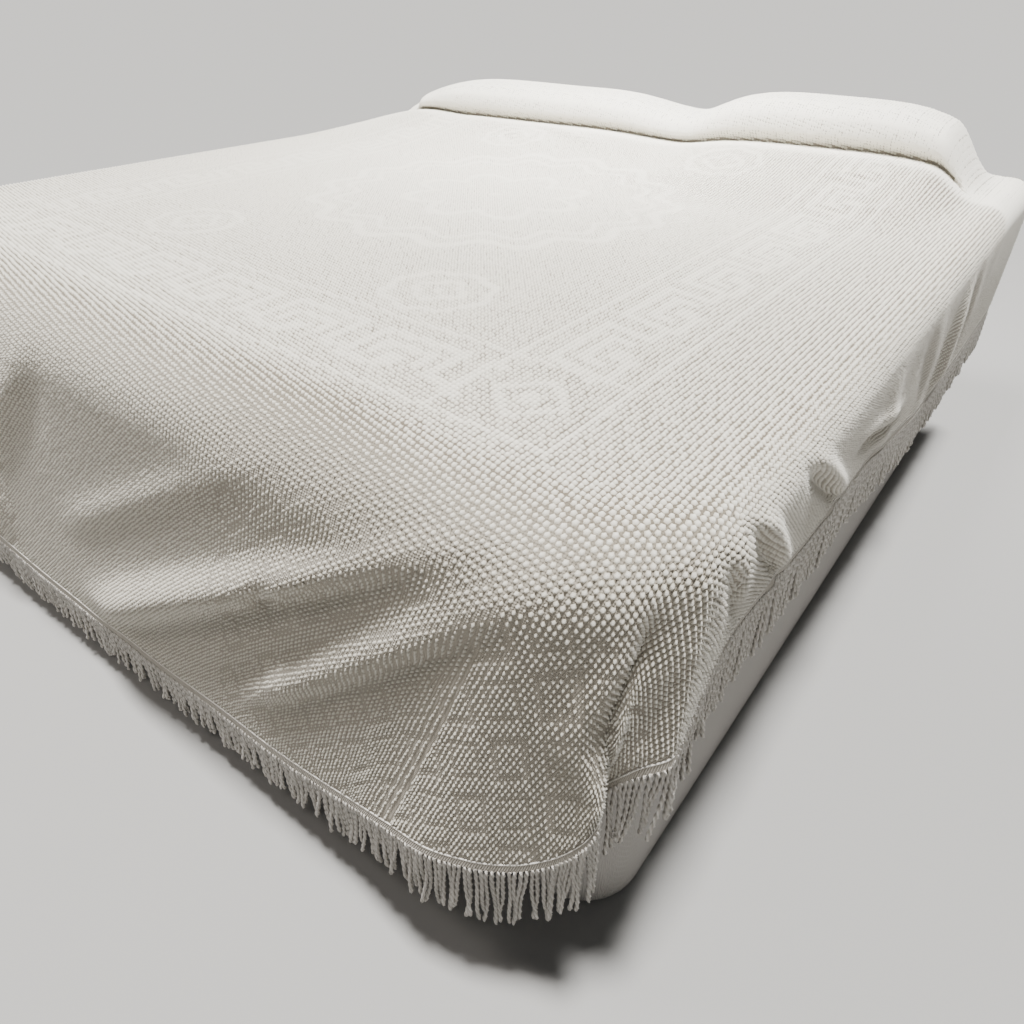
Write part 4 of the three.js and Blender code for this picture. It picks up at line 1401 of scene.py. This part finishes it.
def covered_block(name, solid, corner, edge, pipes):
    """A padded block in a sewn cover with a border that swells between its stitches and piped edges."""
    low, high = (np.array(point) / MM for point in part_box(solid))
    middle, half = (low + high) / 2, (high - low) / 2
    points, facing, run = outline(half[0], half[1], corner)
    inset, level, free = block_profile(high[2] - low[2], edge).T
    swell = BLOCK_BULGE * (STITCH_LEAST + (1 - STITCH_LEAST) * np.sin(math.pi * run / STITCH) ** 2)
    reach = BLOCK_SLACK * (edge - inset) / edge - free * swell[:, None]
    plan = points[:, None] - (inset + reach)[..., None] * facing[:, None]
    heights = np.broadcast_to(low[2] + level, plan.shape[:2])
    rings = np.concatenate([middle[:2] + plan, heights[..., None]], axis=-1)
    count, rows = rings.shape[:2]

    def run_map(across):
        """A UV map of the run round the block and a length across it."""
        return np.stack(np.broadcast_arrays(run[:, None], across), axis=-1).reshape(-1, 2)

    index = np.arange(count * rows).reshape(count, rows)
    after = np.roll(index, -1, axis=0)
    walls = np.stack([index[:, :-1], after[:, :-1], after[:, 1:], index[:, 1:]], axis=-1)
    verts, quads, uv = [rings.reshape(-1, 3)], [walls.reshape(-1, 4)], [run_map(level)]
    way = np.concatenate([facing, np.zeros((count, 1))], axis=1)
    side = np.arange(PIPE_SIDES)
    turn = side * 2 * math.pi / PIPE_SIDES
    for row in pipes:
        tube = (
            rings[:, row, None]
            + PIPING * np.cos(turn)[:, None] * way[:, None]
            + PIPING * np.sin(turn)[:, None] * np.array([0, 0, 1.0])
        )
        ring = sum(len(block) for block in verts) + np.arange(count * PIPE_SIDES).reshape(count, PIPE_SIDES)
        ahead, beside = np.roll(ring, -1, axis=0), np.roll(ring, -1, axis=1)
        corners = [ring, ahead, np.roll(ahead, -1, axis=1), beside]
        quads.append(np.stack(corners, axis=-1).reshape(-1, 4))
        verts.append(tube.reshape(-1, 3))
        uv.append(run_map(PIPE_STEP * side))
    ends = np.array([index[::-1, 0], index[:, -1]])
    obj = mesh_object(name, np.concatenate(verts) * MM, [np.concatenate(quads), ends])
    set_uv(obj, np.concatenate(uv) * MM)
    return obj


def point_array(mesh):
    """The places of a mesh's points in one flat array."""
    places = np.zeros(3 * len(mesh.vertices), np.float32)
    mesh.vertices.foreach_get("co", places)
    return places


def plump_pillow(name, solid):
    """A pillow slip over the solid's form, swollen by its filling for a moment."""
    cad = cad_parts[solid]
    low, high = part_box(solid)
    middle = (low + high) / 2
    mesh = cad.data.copy()
    shrink = Matrix.Translation(middle) @ Matrix.Scale(PILLOW_SHRINK, 4) @ Matrix.Translation(-middle)
    mesh.transform(shrink @ cad.matrix_world)
    obj = bpy.data.objects.new(name, mesh)
    bpy.context.scene.collection.objects.link(obj)
    join_doubles(obj)
    mesh.remesh_voxel_size = PILLOW_GRAIN
    bpy.ops.object.voxel_remesh()
    before = point_array(obj.data)
    filling = obj.modifiers.new("Filling", "CLOTH")
    filling.settings.use_pressure = True
    filling.settings.uniform_pressure_force = PILLOW_PRESSURE
    filling.settings.effector_weights.gravity = 0
    for moment in range(1, PILLOW_MOMENTS + 1):
        bpy.context.scene.frame_set(moment)
    only(obj)
    bpy.ops.object.modifier_apply(modifier=filling.name)
    bpy.context.scene.frame_set(1)
    move = (point_array(obj.data) - before).reshape(-1, 3)
    far_moved = np.maximum(np.linalg.norm(move, axis=1, keepdims=True) / PILLOW_SWELL, 1)
    placed = before.reshape(-1, 3) + move / far_moved
    placed[:, 2] = np.maximum(placed[:, 2], low.z)
    obj.data.vertices.foreach_set("co", placed.ravel())
    obj.data.update()
    only(obj)
    bpy.ops.object.shade_smooth()
    return obj


class BEDSPREAD_OT_bed(bpy.types.Operator):
    """Make the mattress, its base and the pillows in their cotton covers"""

    bl_idname = "bedspread.bed"
    bl_label = "Bed"

    def execute(self, context):
        bed = settings("bedspread_bed")
        stripe = cotton("Mattress ticking", bed.ticking, shade=0.9, grain=300, bump=0.6, ribs=(0.009, 0.6))
        linen = cotton("Base cover", bed.cover, shade=0.8, grain=260, bump=0.7, ribs=(0.004, 0.6))
        slip = cotton("Pillow slip", bed.ticking, shade=0.94, grain=500, bump=0.5)
        mattress = covered_block("mattress_cover", "mattress", *MATTRESS_BLOCK)
        base = covered_block("base_cover", "bed_base", *BASE_BLOCK)
        finish_piece(mattress, stripe)
        finish_piece(base, linen)
        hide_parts("mattress")
        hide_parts("bed_base")
        for solid in ("near_pillow", "far_pillow"):
            pillow = plump_pillow(solid + "_slip", solid)
            finish_piece(pillow, slip)
            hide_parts(solid)
        return {"FINISHED"}


# The stage. A lamp has its kind, place, aim, colour and form, in metres
WARM = (1.0, 0.985, 0.955)
AMBER = (1.0, 0.92, 0.84)
ROUND = {"shape": "DISK", "size": 1.0}
LAMPS = {
    "key": ("SUN", (0.1, 0.2, 5.0), (0.0, 0.0, 0.7), WARM, {"angle": math.radians(10)}),
    "side": ("AREA", (-2.2, -2.4, 3.6), (0.2, -1.1, 0.5), AMBER, ROUND),
    "head": ("AREA", (0.0, -0.6, 3.0), (0.0, 0.85, 0.8), WARM, {"spread": math.radians(55), **ROUND}),
}
FLOOR_SIZE = 400
FLOOR_ROUGHNESS = 0.9
# The camera's place from the middle of the bed at the cloth's level, and its yaw, pitch and roll in degrees
CAMERA_PLACE = (1.1411, -1.4988, 0.417)
CAMERA_TURN = (36.53, 35.53, -0.84)
SENSOR_WIDTH = 36
CLIP_START = 0.02
CLIP_END = 200


def add_floor(colour):
    bpy.ops.object.select_all(action="DESELECT")
    bpy.ops.mesh.primitive_plane_add(size=FLOOR_SIZE)
    floor = bpy.context.object
    floor.name = "floor"
    material = bpy.data.materials.new("Floor")
    material.use_nodes = True
    shader = material.node_tree.nodes["Principled BSDF"]
    shader.inputs["Base Color"].default_value = (*colour, 1)
    shader.inputs["Roughness"].default_value = FLOOR_ROUGHNESS
    floor.data.materials.append(material)


def add_world(back, fill):
    """White light all round, with its own brightness where the camera sees it."""
    world = bpy.data.worlds.new("Studio")
    bpy.context.scene.world = world
    world.use_nodes = True
    tree = world.node_tree
    path = node(tree, "ShaderNodeLightPath")
    seen = math_node(tree, "MULTIPLY", path.outputs["Is Camera Ray"], back - fill)
    backdrop = tree.nodes["Background"]
    backdrop.inputs["Color"].default_value = (1, 1, 1, 1)
    tree.links.new(math_node(tree, "ADD", seen, fill), backdrop.inputs["Strength"])


def add_lamp(name, power, kind, place, aim, colour, form):
    light = bpy.data.lights.new(name, kind)
    light.energy = power
    light.color = colour
    for key, value in form.items():
        setattr(light, key, value)
    obj = bpy.data.objects.new(name, light)
    bpy.context.scene.collection.objects.link(obj)
    obj.location = place
    obj.rotation_euler = (Vector(aim) - Vector(place)).to_track_quat("-Z", "Y").to_euler()


def add_camera(focal):
    camera = bpy.data.cameras.new("camera")
    camera.lens = focal
    camera.sensor_width = SENSOR_WIDTH
    camera.clip_start = CLIP_START
    camera.clip_end = CLIP_END
    obj = bpy.data.objects.new("camera", camera)
    bpy.context.scene.collection.objects.link(obj)
    place = Vector((BED_MIDDLE.x, BED_MIDDLE.y, CLOTH_LEVEL * MM)) + Vector(CAMERA_PLACE)
    yaw, pitch, roll = (math.radians(angle) for angle in CAMERA_TURN)
    ahead = Vector((-math.sin(yaw) * math.cos(pitch), math.cos(yaw) * math.cos(pitch), -math.sin(pitch)))
    level = Vector((math.cos(yaw), math.sin(yaw), 0))
    down = ahead.cross(level)
    right = math.cos(roll) * level + math.sin(roll) * down
    below = -math.sin(roll) * level + math.cos(roll) * down
    turn = Matrix((right, -below, -ahead)).transposed()
    obj.matrix_world = Matrix.Translation(place) @ turn.to_4x4()
    bpy.context.scene.camera = obj


class BEDSPREAD_OT_stage(bpy.types.Operator):
    """Make the floor, the soft lights and the camera"""

    bl_idname = "bedspread.stage"
    bl_label = "Stage"

    def execute(self, context):
        stage = settings("bedspread_stage")
        add_floor(stage.floor)
        add_world(stage.back, stage.fill)
        for name, lamp in LAMPS.items():
            add_lamp(name, getattr(stage, name), *lamp)
        add_camera(stage.focal)
        return {"FINISHED"}


class BEDSPREAD_PT_panel(bpy.types.Panel):
    """Lists what the bedspread is made of"""

    bl_idname = "BEDSPREAD_PT_panel"
    bl_label = "Candlewick bedspread"
    bl_space_type = "VIEW_3D"
    bl_region_type = "UI"
    bl_category = "Bedspread"

    def draw(self, context):
        layout = self.layout
        for group in GROUPS:
            holder = settings(group)
            for name in holder.__annotations__:
                layout.prop(holder, name)
        for step in STEPS:
            layout.operator("bedspread." + step)


GROUPS = {
    "bedspread_cloth": BedspreadCloth,
    "bedspread_fringe": BedspreadFringe,
    "bedspread_bed": BedspreadBed,
    "bedspread_stage": BedspreadStage,
}
STEPS = ("cloth", "tufts", "fringe", "bed", "stage")
CLASSES = (
    *GROUPS.values(),
    BEDSPREAD_OT_cloth,
    BEDSPREAD_OT_tufts,
    BEDSPREAD_OT_fringe,
    BEDSPREAD_OT_bed,
    BEDSPREAD_OT_stage,
    BEDSPREAD_PT_panel,
)


def register():
    for each in CLASSES:
        bpy.utils.register_class(each)
    for name, group in GROUPS.items():
        setattr(bpy.types.Scene, name, bpy.props.PointerProperty(type=group))


def unregister():
    for name in GROUPS:
        delattr(bpy.types.Scene, name)
    for each in reversed(CLASSES):
        bpy.utils.unregister_class(each)


def main():
    register()
    for step in STEPS:
        getattr(bpy.ops.bedspread, step)()
    bpy.context.view_layer.update()


if __name__ == "__main__":
    main()
